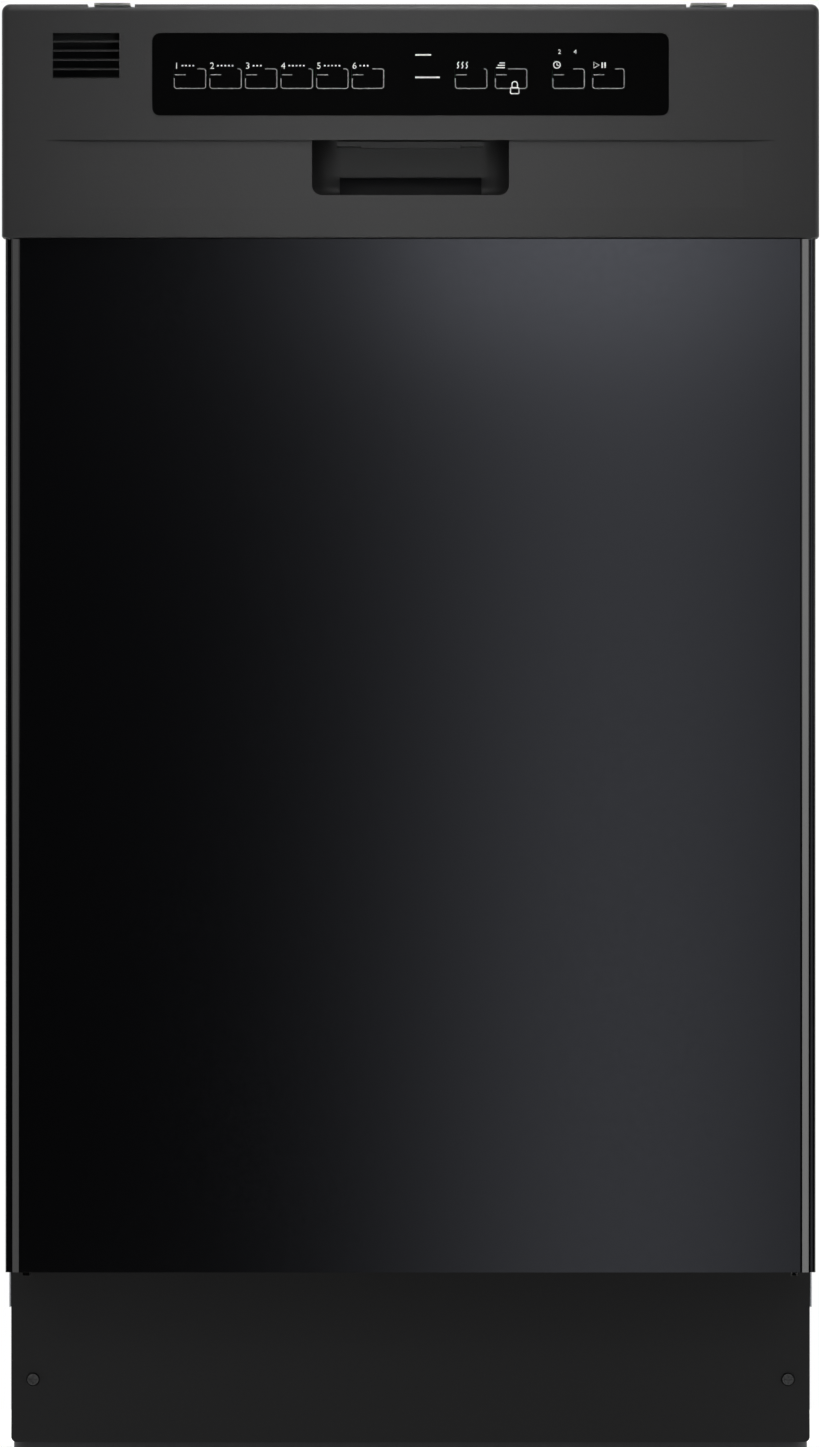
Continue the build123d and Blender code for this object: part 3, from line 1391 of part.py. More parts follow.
with BuildPart() as latch_hook:
    block(-hook_half, hook_half, hook_pivot_y, hook_tip_y, hook_z - hook_thick / 2, hook_z + hook_thick / 2)
    block(-hook_half, hook_half, hook_tip_y - 3, hook_tip_y, hook_z - hook_thick / 2 - tooth_drop, hook_z)
    rod((-hook_half, hook_pivot_y, hook_pivot_z), (hook_half, hook_pivot_y, hook_pivot_z), hook_hub)
    rod((-hook_half - 1, hook_pivot_y, hook_pivot_z), (hook_half + 1, hook_pivot_y, hook_pivot_z),
        hook_pin + running_gap, Mode.SUBTRACT)
save(latch_hook.part, "latch_hook")
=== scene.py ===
# %% [markdown]
# # Dressing a built-in dishwasher
# The construction model already holds every piece at its real size: cabinet, tub, door, racks, keys.
# It arrives here as a fixed frame of named nodes.
# This lesson gives every node a finish, draws what is printed on the keys, and bends real round wire
# where the construction model only has square bars.

# %% Load the frame and keep its box
import json
import math

import bpy
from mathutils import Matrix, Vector


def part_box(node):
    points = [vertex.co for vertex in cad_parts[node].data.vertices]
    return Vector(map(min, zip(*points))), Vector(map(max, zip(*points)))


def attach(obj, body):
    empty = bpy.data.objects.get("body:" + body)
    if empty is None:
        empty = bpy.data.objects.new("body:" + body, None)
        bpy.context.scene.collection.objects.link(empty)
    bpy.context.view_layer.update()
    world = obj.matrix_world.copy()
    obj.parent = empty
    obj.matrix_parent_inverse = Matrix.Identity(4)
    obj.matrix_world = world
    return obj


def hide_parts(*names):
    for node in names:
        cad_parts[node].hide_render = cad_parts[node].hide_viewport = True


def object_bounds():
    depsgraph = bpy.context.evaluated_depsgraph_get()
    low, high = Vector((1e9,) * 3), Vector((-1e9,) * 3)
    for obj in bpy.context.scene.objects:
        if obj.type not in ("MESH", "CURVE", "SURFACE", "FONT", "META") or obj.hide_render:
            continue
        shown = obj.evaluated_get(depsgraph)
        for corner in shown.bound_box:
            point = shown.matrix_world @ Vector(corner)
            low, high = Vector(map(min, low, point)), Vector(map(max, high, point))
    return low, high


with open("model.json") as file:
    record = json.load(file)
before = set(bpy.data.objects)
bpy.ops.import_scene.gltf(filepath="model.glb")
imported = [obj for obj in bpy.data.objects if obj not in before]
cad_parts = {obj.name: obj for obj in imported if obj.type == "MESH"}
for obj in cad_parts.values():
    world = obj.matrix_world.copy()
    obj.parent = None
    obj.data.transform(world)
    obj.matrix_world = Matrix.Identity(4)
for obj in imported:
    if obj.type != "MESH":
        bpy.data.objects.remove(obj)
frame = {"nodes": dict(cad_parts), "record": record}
cad_low, cad_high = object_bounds()
nodes = frame["nodes"]
MM = 0.001
print("nodes:", len(nodes), "box in mm:", [round((b - a) / MM, 1) for a, b in zip(cad_low, cad_high)])

# %% [markdown]
# ## Small helpers
# Colours are written as sRGB hex values, as a colour picker shows them, and a shader wants them linear.
# A pattern is easier to think of by its real size, so `per_mm` turns millimetres into a texture scale.
# One function adds a node with its settings and its links, and one starts a finish.

# %% Colour, scale and nodes


def linear(colour):
    channels = [int(colour[i:i + 2], 16) / 255 for i in (1, 3, 5)]
    return [c / 12.92 if c <= 0.04045 else ((c + 0.055) / 1.055) ** 2.4 for c in channels] + [1.0]


def per_mm(size):
    return 1 / (size * MM)


def add_node(tree, kind, sockets=None, **settings):
    node = tree.nodes.new(kind)
    for name, value in settings.items():
        setattr(node, name, value)
    for name, value in (sockets or {}).items():
        if isinstance(value, bpy.types.NodeSocket):
            tree.links.new(value, node.inputs[name])
        else:
            node.inputs[name].default_value = value
    return node


def start_finish(name, colour, roughness, metallic=0.0, ior=1.5):
    material = bpy.data.materials.new(name)
    material.use_nodes = True
    tree = material.node_tree
    shader = tree.nodes["Principled BSDF"]
    shader.inputs["Base Color"].default_value = linear(colour)
    shader.inputs["Roughness"].default_value = roughness
    shader.inputs["Metallic"].default_value = metallic
    shader.inputs["IOR"].default_value = ior
    place = add_node(tree, "ShaderNodeTexCoord").outputs["Object"]
    return material, tree, shader, place


# %% [markdown]
# ## Patterns
# No real surface is quite even. One helper raises a noise of a real grain size as bump, and the other
# lets a colour or a roughness run between two values with a pattern.
# Noise keeps to the middle of its range, so the stops that a pattern runs between are set in from 0 and 1.

# %% Grain and variation
COLOUR_STOPS = (0.35, 0.65)
VALUE_STOPS = (0.3, 0.7)


def grain(tree, shader, place, size, relief, detail=3.0, stretch=(1, 1, 1)):
    """Noise of a real grain size as bump, with relief as its height in millimetres."""
    turned = add_node(tree, "ShaderNodeMapping", {"Vector": place, "Scale": stretch})
    noise = add_node(tree, "ShaderNodeTexNoise",
                     {"Vector": turned.outputs[0], "Scale": per_mm(size), "Detail": detail})
    bump = add_node(tree, "ShaderNodeBump", {"Height": noise.outputs["Fac"], "Distance": relief * MM})
    tree.links.new(bump.outputs[0], shader.inputs["Normal"])
    return noise.outputs["Fac"]


def vary(tree, shader, socket, source, low, high):
    """A socket that runs from low to high with a pattern, numbers or hex colours alike."""
    if isinstance(low, str):
        ramp = add_node(tree, "ShaderNodeValToRGB", {"Fac": source})
        for stop, place, colour in zip(ramp.color_ramp.elements, COLOUR_STOPS, (low, high)):
            stop.position = place
            stop.color = linear(colour)
        tree.links.new(ramp.outputs["Color"], shader.inputs[socket])
    else:
        spread = add_node(tree, "ShaderNodeMapRange",
                          {"Value": source, "From Min": VALUE_STOPS[0], "From Max": VALUE_STOPS[1],
                           "To Min": low, "To Max": high})
        tree.links.new(spread.outputs[0], shader.inputs[socket])


finishes = {}

# %% [markdown]
# ## The black front
# Four blacks meet on the front, and they differ in gloss far more than in colour.
# The console is moulded ABS with a fine eroded grain, which scatters the light to an even dark grey.
# The door is sheet steel with a smooth black paint, whose slight orange peel blurs a reflected lamp.
# The toe kick has a duller coat of the same black, and the control overlay is a printed film.
# The grain of the console is about 0.3 mm on the real one. It is drawn at 1.4 mm, or it would not show.

# %% Console, door, toe kick and overlay
finish, tree, shader, place = start_finish("moulded_abs_black", "#1a1a1a", 0.55, ior=1.5)
dots = grain(tree, shader, place, size=1.4, relief=0.05)
vary(tree, shader, "Roughness", dots, 0.5, 0.6)
vary(tree, shader, "Base Color", dots, "#181818", "#1d1d1d")
finishes["console_black"] = finish

finish, tree, shader, place = start_finish("painted_steel_black", "#030304", 0.12, ior=1.5)
peel = grain(tree, shader, place, size=3.0, relief=0.002, detail=1.0)
vary(tree, shader, "Roughness", peel, 0.115, 0.13)
finishes["door_black"] = finish

finish, tree, shader, place = start_finish("painted_steel_satin_black", "#131313", 0.48, ior=1.5)
shader.inputs["Specular IOR Level"].default_value = 0.32
peel = grain(tree, shader, place, size=2.2, relief=0.03, detail=2.0)
vary(tree, shader, "Roughness", peel, 0.42, 0.54)
vary(tree, shader, "Base Color", peel, "#111111", "#161616")
finishes["kick_black"] = finish

finish, tree, shader, place = start_finish("printed_film_black", "#020202", 0.4, ior=1.45)
shader.inputs["Specular IOR Level"].default_value = 0.03
wave = grain(tree, shader, place, size=9.0, relief=0.004, detail=1.0)
vary(tree, shader, "Roughness", wave, 0.36, 0.44)
finishes["overlay_black"] = finish

print("front finishes:", sorted(finishes))

# %% [markdown]
# ## Metals
# The tub and the door's inner liner are drawn from brushed stainless sheet. Its brush lines run level
# round the tub, so the noise is stretched forty times across and front to back, and stays fine upwards.
# The filter plate lies flat, so its lines run front to back. Galvanised panels show the flat crystals of
# the zinc, which a Voronoi texture draws well. Plated pins and brackets are plain bright zinc, and the two
# screws of the toe kick are blackened steel with a slightly uneven tone.
# A metal keeps the default index of refraction.

# %% Stainless, galvanised and plated steel
BRUSHED = {
    "stainless": ("brushed_stainless_walls", (0.025, 0.025, 1.0)),
    "flat_stainless": ("brushed_stainless_plate", (1.0, 0.025, 1.0)),
}
for slot, (name, stretch) in BRUSHED.items():
    finish, tree, shader, place = start_finish(name, "#c6c6c4", 0.3, metallic=1.0)
    lines = grain(tree, shader, place, size=1.6, relief=0.006, detail=4.0, stretch=stretch)
    vary(tree, shader, "Roughness", lines, 0.26, 0.36)
    vary(tree, shader, "Base Color", lines, "#bebebc", "#cececc")
    finishes[slot] = finish

finish, tree, shader, place = start_finish("galvanised_sheet", "#b3b7b9", 0.42, metallic=1.0)
flakes = add_node(tree, "ShaderNodeTexVoronoi", {"Vector": place, "Scale": per_mm(9), "Randomness": 1.0})
tone = add_node(tree, "ShaderNodeSeparateColor", {"Color": flakes.outputs["Color"]}).outputs[0]
vary(tree, shader, "Base Color", tone, "#afb3b6", "#b7bbbd")
vary(tree, shader, "Roughness", tone, 0.41, 0.45)
grain(tree, shader, place, size=2.5, relief=0.006)
finishes["galvanised"] = finish

finish, tree, shader, place = start_finish("zinc_plated_steel", "#b9b8b2", 0.32, metallic=1.0)
clouds = grain(tree, shader, place, size=6.0, relief=0.004)
vary(tree, shader, "Roughness", clouds, 0.26, 0.4)
vary(tree, shader, "Base Color", clouds, "#b0afa8", "#c2c2bd")
finishes["plated_steel"] = finish

finish, tree, shader, place = start_finish("blackened_steel", "#4a4a4a", 0.36, metallic=1.0)
wear = grain(tree, shader, place, size=1.5, relief=0.01)
vary(tree, shader, "Base Color", wear, "#414141", "#555554")
finishes["screw_black"] = finish

print("metals:", "stainless", "flat_stainless", "galvanised", "plated_steel", "screw_black")

# %% [markdown]
# ## Plastics and coated wire
# Polypropylene parts are moulded with a soft matt grain, and three of them differ only in their shade, so
# one loop makes them. The rack wire is steel dipped in nylon, which leaves a smooth, slightly wavy skin.

# %% Moulded plastics and coated wire
MOULDED = {
    "base_black": ("polypropylene_black", "#1e1f21", "#262729", 0.58),
    "grey_plastic": ("polypropylene_grey", "#8b9094", "#959a9d", 0.42),
    "light_plastic": ("polypropylene_pale_grey", "#c9cbca", "#d5d7d5", 0.4),
}
for slot, (name, low, high, roughness) in MOULDED.items():
    finish, tree, shader, place = start_finish(name, low, roughness, ior=1.49)
    pores = grain(tree, shader, place, size=1.2, relief=0.02)
    vary(tree, shader, "Base Color", pores, low, high)
    vary(tree, shader, "Roughness", pores, roughness - 0.05, roughness + 0.06)
    finishes[slot] = finish

finish, tree, shader, place = start_finish("nylon_coated_wire", "#aeb6bb", 0.34, ior=1.53)
skin = grain(tree, shader, place, size=4.0, relief=0.03, detail=1.0)
vary(tree, shader, "Base Color", skin, "#a6aeb4", "#b6bec3")
vary(tree, shader, "Roughness", skin, 0.3, 0.4)
finishes["coated_wire"] = finish

print("plastics:", list(MOULDED), "and coated_wire")

# %% [markdown]
# ## Rubber, felt and the board
# The seal is a matt rubber with a faint bloom. The mats are pressed felt with bitumen, so their fibres
# stand up as a rough bump. The control board carries a green solder mask over faint copper tracks, which
# a brick texture is enough for, because the board hides in the door.

# %% Seal, felt and control board
finish, tree, shader, place = start_finish("seal_rubber", "#2b2b2c", 0.72, ior=1.52)
bloom = grain(tree, shader, place, size=0.9, relief=0.02)
vary(tree, shader, "Base Color", bloom, "#262627", "#323233")
finishes["seal_rubber"] = finish

finish, tree, shader, place = start_finish("bitumen_felt", "#2d2b29", 0.9, ior=1.45)
fibres = grain(tree, shader, place, size=2.6, relief=0.3, detail=6.0, stretch=(1.0, 0.35, 0.6))
vary(tree, shader, "Base Color", fibres, "#211f1e", "#3c3936")
shader.inputs["Sheen Weight"].default_value = 0.25
finishes["felt"] = finish

finish, tree, shader, place = start_finish("solder_mask_green", "#1d5a36", 0.32, ior=1.55)
tracks = add_node(tree, "ShaderNodeTexBrick",
                  {"Vector": place, "Scale": per_mm(7), "Mortar Size": 0.06, "Color1": linear("#17502e"),
                   "Color2": linear("#1c5a35"), "Mortar": linear("#2b7a48")})
tree.links.new(tracks.outputs["Color"], shader.inputs["Base Color"])
finishes["board_green"] = finish

print("finishes:", len(finishes))

# %% [markdown]
# ## Dressing the construction nodes
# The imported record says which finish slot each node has, so one loop dresses all of them.
# The screws of the toe kick share its black slot in the record, and here they get their own metal.
# The filter plate gets the stainless finish whose lines suit a flat sheet.

# %% Give every node its finish
for subpart in frame["record"]["subparts"]:
    mesh = nodes[subpart["node"]].data
    mesh.materials.clear()
    mesh.materials.append(finishes[subpart["material_slot"]])
nodes["toe_kick_screws"].data.materials[0] = finishes["screw_black"]
nodes["filter_plate"].data.materials[0] = finishes["flat_stainless"]

# %% [markdown]
# ## Three helpers for new pieces
# Operators work on whatever is selected, and the frame comes in selected, so the first helper leaves
# only the named pieces selected. The second one finishes a piece: its place goes into its mesh, it gets
# its finish, and it rides on the body it belongs to. The third one joins pieces into one.

# %% Select, settle and join


def only(*pieces):
    bpy.ops.object.select_all(action="DESELECT")
    for piece in pieces:
        piece.select_set(True)
    bpy.context.view_layer.objects.active = pieces[0]


def settle(piece, name, body, finish):
    only(piece)
    bpy.ops.object.transform_apply(location=True, rotation=True, scale=True)
    piece.name = name
    piece.data.name = name
    piece.data.materials.clear()
    piece.data.materials.append(finish)
    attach(piece, body)
    return piece


def join(pieces):
    only(*pieces)
    bpy.ops.object.join()
    return bpy.context.active_object


# %% [markdown]
# ## Round wire
# A dish rack is bent from round steel wire and then dipped in nylon. By hand one would extrude a point
# from corner to corner, round the corners with a vertex bevel, turn the line into a curve and give it a
# thickness. A skin modifier could do the same, but a curve keeps the wire truly round.
# The helper does just that and gives back a mesh tube. Corners and sizes are in millimetres.

# %% Bend a wire


def pick_ends(mesh, ends):
    """Select a line's two ends, or all of its other points."""
    for group in (mesh.vertices, mesh.edges, mesh.polygons):
        group.foreach_set("select", [False] * len(group))
    touched = [index for edge in mesh.edges for index in edge.vertices]
    for vertex in mesh.vertices:
        vertex.select = (touched.count(vertex.index) == 1) == ends


def bent_wire(corners, radius, bend=0.0, ring=False):
    bpy.ops.object.select_all(action="DESELECT")
    bpy.ops.mesh.primitive_plane_add(size=1.0)
    wire = bpy.context.active_object
    bpy.ops.object.mode_set(mode="EDIT")
    bpy.ops.mesh.merge(type="CENTER")
    bpy.ops.transform.translate(value=Vector(corners[0]) * MM)
    for start, end in zip(corners, corners[1:]):
        bpy.ops.mesh.extrude_region_move(
            TRANSFORM_OT_translate={"value": (Vector(end) - Vector(start)) * MM})
    bpy.ops.object.mode_set(mode="OBJECT")
    if ring:
        pick_ends(wire.data, True)
        bpy.ops.object.mode_set(mode="EDIT")
        bpy.ops.mesh.edge_face_add()
        bpy.ops.object.mode_set(mode="OBJECT")
    if bend:
        pick_ends(wire.data, False)
        bpy.ops.object.mode_set(mode="EDIT")
        bpy.ops.mesh.bevel(offset=bend * MM, segments=4, affect="VERTICES")
        bpy.ops.object.mode_set(mode="OBJECT")
    bpy.ops.object.convert(target="CURVE")
    wire.data.bevel_depth = radius * MM
    wire.data.bevel_resolution = 2
    wire.data.use_fill_caps = True
    bpy.ops.object.convert(target="MESH")
    bpy.ops.object.shade_smooth_by_angle(angle=math.radians(40))
    return wire


# %% [markdown]
# ## Copies in a row
# Most wires of a rack repeat. One is bent and then duplicated, each copy with a mesh of its own.
# An array modifier would do it too, but copies can still be joined with other pieces one by one.

# %% Copies and even spacing


def copies(piece, count, step):
    """The piece and its copies, each with its own mesh, one step apart in millimetres."""
    made = [piece]
    for steps in range(1, count):
        only(piece)
        bpy.ops.object.duplicate(linked=False)
        twin = bpy.context.active_object
        twin.location = Vector(step) * MM * steps
        made.append(twin)
    return made


def spread(low, high, count):
    return [low + (high - low) * n / (count - 1) for n in range(count)]


# %% [markdown]
# ## Dish racks
# Each rack is a rim, a side ring, two sets of U-shaped wires that cross on the floor, and rows of tines.
# One wire of a set is bent and the rest are copies of it. The rim is thicker than the rest.
# The wires stay inside the bars of the construction model, which they stand for, so a rack's ends and
# heights are read from its box.

# %% Bend all the wires of a rack
WIRE, RIM_WIRE = 1.7, 2.2
upper_low, upper_high = [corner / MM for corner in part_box("upper_rack")]
lower_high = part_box("lower_rack")[1] / MM
RACK_FRONT, RACK_BACK = upper_low.y, upper_high.y
RING_BEND, WIRE_BEND, TINE_BEND = 24, 12, 8
ACROSS_INSET, ALONG_INSET, TINE_INSET = 30, 26, 26
WALL_GAP, BAR_GAP, TIP_GAP = 4, 6, 2
TINE_LEAN = 1.5


def wire_rack(half, floor_z, rim_z, side_z, across, along, tine_rows, tine_count, tine_height):
    """All the wires of one rack, from heights and widths in millimetres and the number of wires."""
    side = half - WIRE
    front, back = RACK_FRONT + WIRE, RACK_BACK - WIRE
    made = []
    for z, radius in ((rim_z - RIM_WIRE, RIM_WIRE), (side_z, WIRE)):
        inset = radius - WIRE
        left, right = -side + inset, side - inset
        near, far = front + inset, back - inset
        corners = [(left, near, z), (right, near, z), (right, far, z), (left, far, z)]
        made.append(bent_wire(corners, radius, bend=RING_BEND, ring=True))
    top = rim_z - 2 * RIM_WIRE
    wall = side - WALL_GAP
    rows = spread(front + ACROSS_INSET, back - ACROSS_INSET, across)
    y = rows[0]
    corners = [(-wall, y, top), (-wall, y, floor_z), (wall, y, floor_z), (wall, y, top)]
    made += copies(bent_wire(corners, WIRE, bend=WIRE_BEND), across, (0, rows[1] - rows[0], 0))
    low = floor_z + 2 * WIRE
    near, far = front + WALL_GAP, back - WALL_GAP
    rows = spread(-side + ALONG_INSET, side - ALONG_INSET, along)
    x = rows[0]
    corners = [(x, near, top), (x, near, low), (x, far, low), (x, far, top)]
    made += copies(bent_wire(corners, WIRE, bend=WIRE_BEND), along, (rows[1] - rows[0], 0, 0))
    foot = low + 2 * WIRE
    middle, tip = floor_z + tine_height / 2, floor_z + tine_height - TIP_GAP
    rows = spread(RACK_FRONT + TINE_INSET, RACK_BACK - TINE_INSET, tine_count)
    y = rows[0]
    for x in tine_rows:
        made.append(bent_wire([(x, front + BAR_GAP, foot), (x, back - BAR_GAP, foot)], WIRE))
        corners = [(x, y, foot), (x + TINE_LEAN, y, middle), (x + 2 * TINE_LEAN, y, tip)]
        made += copies(bent_wire(corners, WIRE, bend=TINE_BEND), tine_count, (0, rows[1] - rows[0], 0))
    return made


# %% [markdown]
# ## Upper and lower rack
# The upper rack has two rows of short tines for cups. The lower one has three rows of long tines for
# plates, and leaves room for the cutlery basket on its right. Its wires keep further in than its box, to
# leave room for the axle brackets and the wheels.

# %% Upper and lower rack
upper = wire_rack(half=upper_high.x, floor_z=upper_low.z + WIRE, rim_z=upper_high.z, side_z=560.0,
                  across=10, along=8, tine_rows=(-60.3, 60.3), tine_count=8, tine_height=52.0)
upper_wires = settle(join(upper), "upper_rack_wires", "upper_rack", finishes["coated_wire"])
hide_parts("upper_rack")

lower = wire_rack(half=177.5, floor_z=180.3, rim_z=lower_high.z, side_z=240.0,
                  across=10, along=8, tine_rows=(-110.0, -46.2, 17.8), tine_count=9, tine_height=92.0)
print("rack wires:", len(upper), len(lower))

# %% [markdown]
# ## Axle brackets of the lower rack
# The wheels turn on moulded brackets that clip to the lowest wires. A block with bevelled edges is the
# bracket, and the axle is a round pin with a wider head that keeps the wheel on.

# %% Brackets and axles
BRACKET_SIZE, BRACKET_X, BRACKET_Z, BRACKET_BEVEL = (10.0, 16.0, 16.4), 172.5, 170.5, 1.6
AXLE_Z, AXLE_IN, AXLE_OUT = 168.3, 176.0, lower_high.x
AXLE_RADIUS, AXLE_HEAD_RADIUS, AXLE_HEAD = 3.5, 5.0, 1.6
WHEEL_INSET = 90.0
for side in (-1, 1):
    for y in (RACK_FRONT + WHEEL_INSET, RACK_BACK - WHEEL_INSET):
        bpy.ops.object.select_all(action="DESELECT")
        bpy.ops.mesh.primitive_cube_add(size=1.0, location=Vector((side * BRACKET_X, y, BRACKET_Z)) * MM,
                                        scale=Vector(BRACKET_SIZE) * MM)
        bracket = bpy.context.active_object
        bpy.ops.object.transform_apply(location=False, rotation=False, scale=True)
        bpy.ops.object.mode_set(mode="EDIT")
        bpy.ops.mesh.bevel(offset=BRACKET_BEVEL * MM, segments=3, affect="EDGES")
        bpy.ops.object.mode_set(mode="OBJECT")
        bpy.ops.object.shade_smooth_by_angle(angle=math.radians(35))
        start, neck, end = [(side * x, y, AXLE_Z) for x in (AXLE_IN, AXLE_OUT - AXLE_HEAD, AXLE_OUT)]
        pin = bent_wire([start, neck], AXLE_RADIUS)
        head = bent_wire([neck, end], AXLE_HEAD_RADIUS)
        lower += [bracket, pin, head]
lower_wires = settle(join(lower), "lower_rack_wires", "lower_rack", finishes["coated_wire"])
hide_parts("lower_rack")
print("lower rack faces:", len(lower_wires.data.polygons))

# %% [markdown]
# ## Discs with bevelled rims
# A foot, its hexagon and a screw's head all start as a cylinder, with many sides or with six.
# A rim that is quite sharp catches no light, so the edges at the top and at the bottom are picked by their
# height and bevelled.

# %% Bevel the rims of a disc


def bevelled_disc(sides, radius, low, high, top_bevel, bottom_bevel):
    """An upright disc or prism in millimetres with its two rims bevelled."""
    bpy.ops.object.select_all(action="DESELECT")
    bpy.ops.mesh.primitive_cylinder_add(vertices=sides, radius=radius * MM, depth=(high - low) * MM,
                                        location=(0, 0, (low + high) / 2 * MM))
    disc = bpy.context.active_object
    bpy.ops.object.transform_apply(location=True, rotation=False, scale=False)
    for height, bevel in ((high, top_bevel), (low, bottom_bevel)):
        for group in (disc.data.vertices, disc.data.edges, disc.data.polygons):
            group.foreach_set("select", [False] * len(group))
        for edge in disc.data.edges:
            edge.select = all(abs(disc.data.vertices[v].co.z - height * MM) < 1e-6 for v in edge.vertices)
        bpy.ops.object.mode_set(mode="EDIT")
        bpy.ops.mesh.select_mode(type="EDGE")
        bpy.ops.mesh.bevel(offset=bevel * MM, segments=3, affect="EDGES")
        bpy.ops.mesh.select_mode(type="VERT")
        bpy.ops.object.mode_set(mode="OBJECT")
    bpy.ops.object.shade_smooth_by_angle(angle=math.radians(35))
    return disc


# %% [markdown]
# ## Thread
# A thread could be a bump in the finish, but its outline shows against the light. So one V profile is
# swept round and upwards by the Screw modifier. Then its two open ends are filled, and its faces are
# turned outwards.

# %% Sweep a thread


def thread(low, length, root, crest, pitch):
    """A helical thread about Z, closed at both ends."""
    bpy.ops.object.select_all(action="DESELECT")
    bpy.ops.mesh.primitive_plane_add(size=1.0)
    profile = bpy.context.active_object
    bpy.ops.object.mode_set(mode="EDIT")
    bpy.ops.mesh.merge(type="CENTER")
    bpy.ops.transform.translate(value=Vector((root, 0, low)) * MM)
    for outwards in (crest - root, root - crest):
        bpy.ops.mesh.extrude_region_move(
            TRANSFORM_OT_translate={"value": Vector((outwards, 0, pitch / 2)) * MM})
    bpy.ops.object.mode_set(mode="OBJECT")
    turn = profile.modifiers.new("turn", "SCREW")
    turn.screw_offset = pitch * MM
    turn.iterations = int(length / pitch)
    turn.steps = turn.render_steps = 20
    turn.use_merge_vertices = True
    turn.merge_threshold = 1e-6
    bpy.ops.object.modifier_apply(modifier=turn.name)
    bpy.ops.object.mode_set(mode="EDIT")
    bpy.ops.mesh.select_all(action="SELECT")
    bpy.ops.mesh.remove_doubles(threshold=2e-6)
    bpy.ops.mesh.select_all(action="DESELECT")
    bpy.ops.mesh.select_non_manifold()
    bpy.ops.mesh.fill()
    bpy.ops.mesh.select_all(action="SELECT")
    bpy.ops.mesh.normals_make_consistent(inside=False)
    bpy.ops.object.mode_set(mode="OBJECT")
    bpy.ops.object.shade_smooth_by_angle(angle=math.radians(25))
    return profile


# %% [markdown]
# ## Levelling legs
# A leg is a moulded foot with a hexagon for the spanner and a threaded stem of 10 mm, with a pitch of
# 1.5 mm. The thread's crest has the stem's outer size, so it still fits its socket. One leg is modelled,
# and each of the four is a copy that screws in and out with its own body.

# %% Foot, hexagon and stem
FOOT_RADIUS, FOOT_HEIGHT, HEX_HEIGHT, HEX_CORNER = 19.0, 9.0, 10.0, 13.86
PITCH, CREST, ROOT, STEM_LENGTH = 1.5, 5.0, 4.3, 84.0
OVERLAP = 0.5
LEGS = ("leg_front_left", "leg_front_right", "leg_rear_left", "leg_rear_right")
hex_top = FOOT_HEIGHT + HEX_HEIGHT
foot = bevelled_disc(48, FOOT_RADIUS, 0.0, FOOT_HEIGHT, top_bevel=3.0, bottom_bevel=1.0)
hexagon = bevelled_disc(6, HEX_CORNER, FOOT_HEIGHT - OVERLAP, hex_top, top_bevel=1.2, bottom_bevel=0.2)
stem = thread(hex_top - OVERLAP, STEM_LENGTH, ROOT, CREST, PITCH)
model_leg = join([foot, hexagon, stem])
for name in LEGS:
    low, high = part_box(name)
    only(model_leg)
    bpy.ops.object.duplicate(linked=False)
    leg = bpy.context.active_object
    leg.location = ((low.x + high.x) / 2, (low.y + high.y) / 2, 0.0)
    settle(leg, name + "_turned", name, finishes["base_black"])
    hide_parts(name)
bpy.data.objects.remove(model_leg)
print("legs:", len(LEGS))

# %% [markdown]
# ## Inks
# The overlay is screen printed with two inks, a grey one for outlines and a white one for numbers and
# signs. Screen ink dries as a thin matt layer with a faint grain.

# %% White and grey ink
INKS = {
    "white": ("screen_print_white", "#d4d4d2", "#cbcbc9", "#dadad8"),
    "grey": ("screen_print_grey", "#8c8c8b", "#868685", "#929291"),
}
inks = {}
for shade, (name, colour, low, high) in INKS.items():
    finish, tree, shader, place = start_finish(name, colour, 0.5, ior=1.48)
    dots = grain(tree, shader, place, size=0.6, relief=0.01)
    vary(tree, shader, "Base Color", dots, low, high)
    inks[shade] = finish
print("inks:", list(inks))

# %% [markdown]
# ## Strokes and numerals
# Print could be a picture on the film, but real geometry stays sharp from close by.
# A stroke is a wire bent along the line and then pressed flat, so it stands only a hair above the film.
# A numeral is a text made into a mesh.

# %% Strokes, numerals and pressing flat
FILM_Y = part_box("touch_overlay")[0].y / MM
KEY_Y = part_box("key_cycle_1")[0].y / MM
THIN, MEDIUM, BOLD = 0.21, 0.28, 0.42
CAP_SHARE = 0.7
PRINT_DEPTH = 0.3
PRESS = 0.1


def stroke(points, radius=MEDIUM, bend=0.0, ring=False):
    """A stroke through (x, z) points in millimetres, lying in the plane y = 0."""
    return bent_wire([(x, 0, z) for x, z in points], radius, bend, ring)


def number(body, x, z, height):
    """A plain numeral with its lower left corner at (x, z) in millimetres."""
    bpy.ops.object.select_all(action="DESELECT")
    bpy.ops.object.text_add(location=(x * MM, 0, z * MM), rotation=(math.radians(90), 0, 0))
    text = bpy.context.active_object
    text.data.body = body
    text.data.size = height / CAP_SHARE * MM
    text.data.extrude = PRINT_DEPTH * MM
    bpy.ops.object.convert(target="MESH")
    bpy.ops.object.transform_apply(location=True, rotation=True, scale=True)
    return text


def press_flat(pieces, face_y, name, body, finish):
    """Join the strokes, press them to a tenth of their height and lay them on a face."""
    printed = join(pieces)
    bpy.ops.object.mode_set(mode="EDIT")
    bpy.ops.mesh.select_all(action="SELECT")
    bpy.ops.transform.resize(value=(1.0, PRESS, 1.0), center_override=(0, 0, 0))
    bpy.ops.object.mode_set(mode="OBJECT")
    printed.location.y = face_y * MM
    return settle(printed, name, body, finish)


# %% [markdown]
# ## Key frames
# Each key has a thin open frame as its outline and a short line under its upper edge. Every frame starts
# at its own place on the upper edge. It rides on its key, so it sinks with the key when that is pressed.

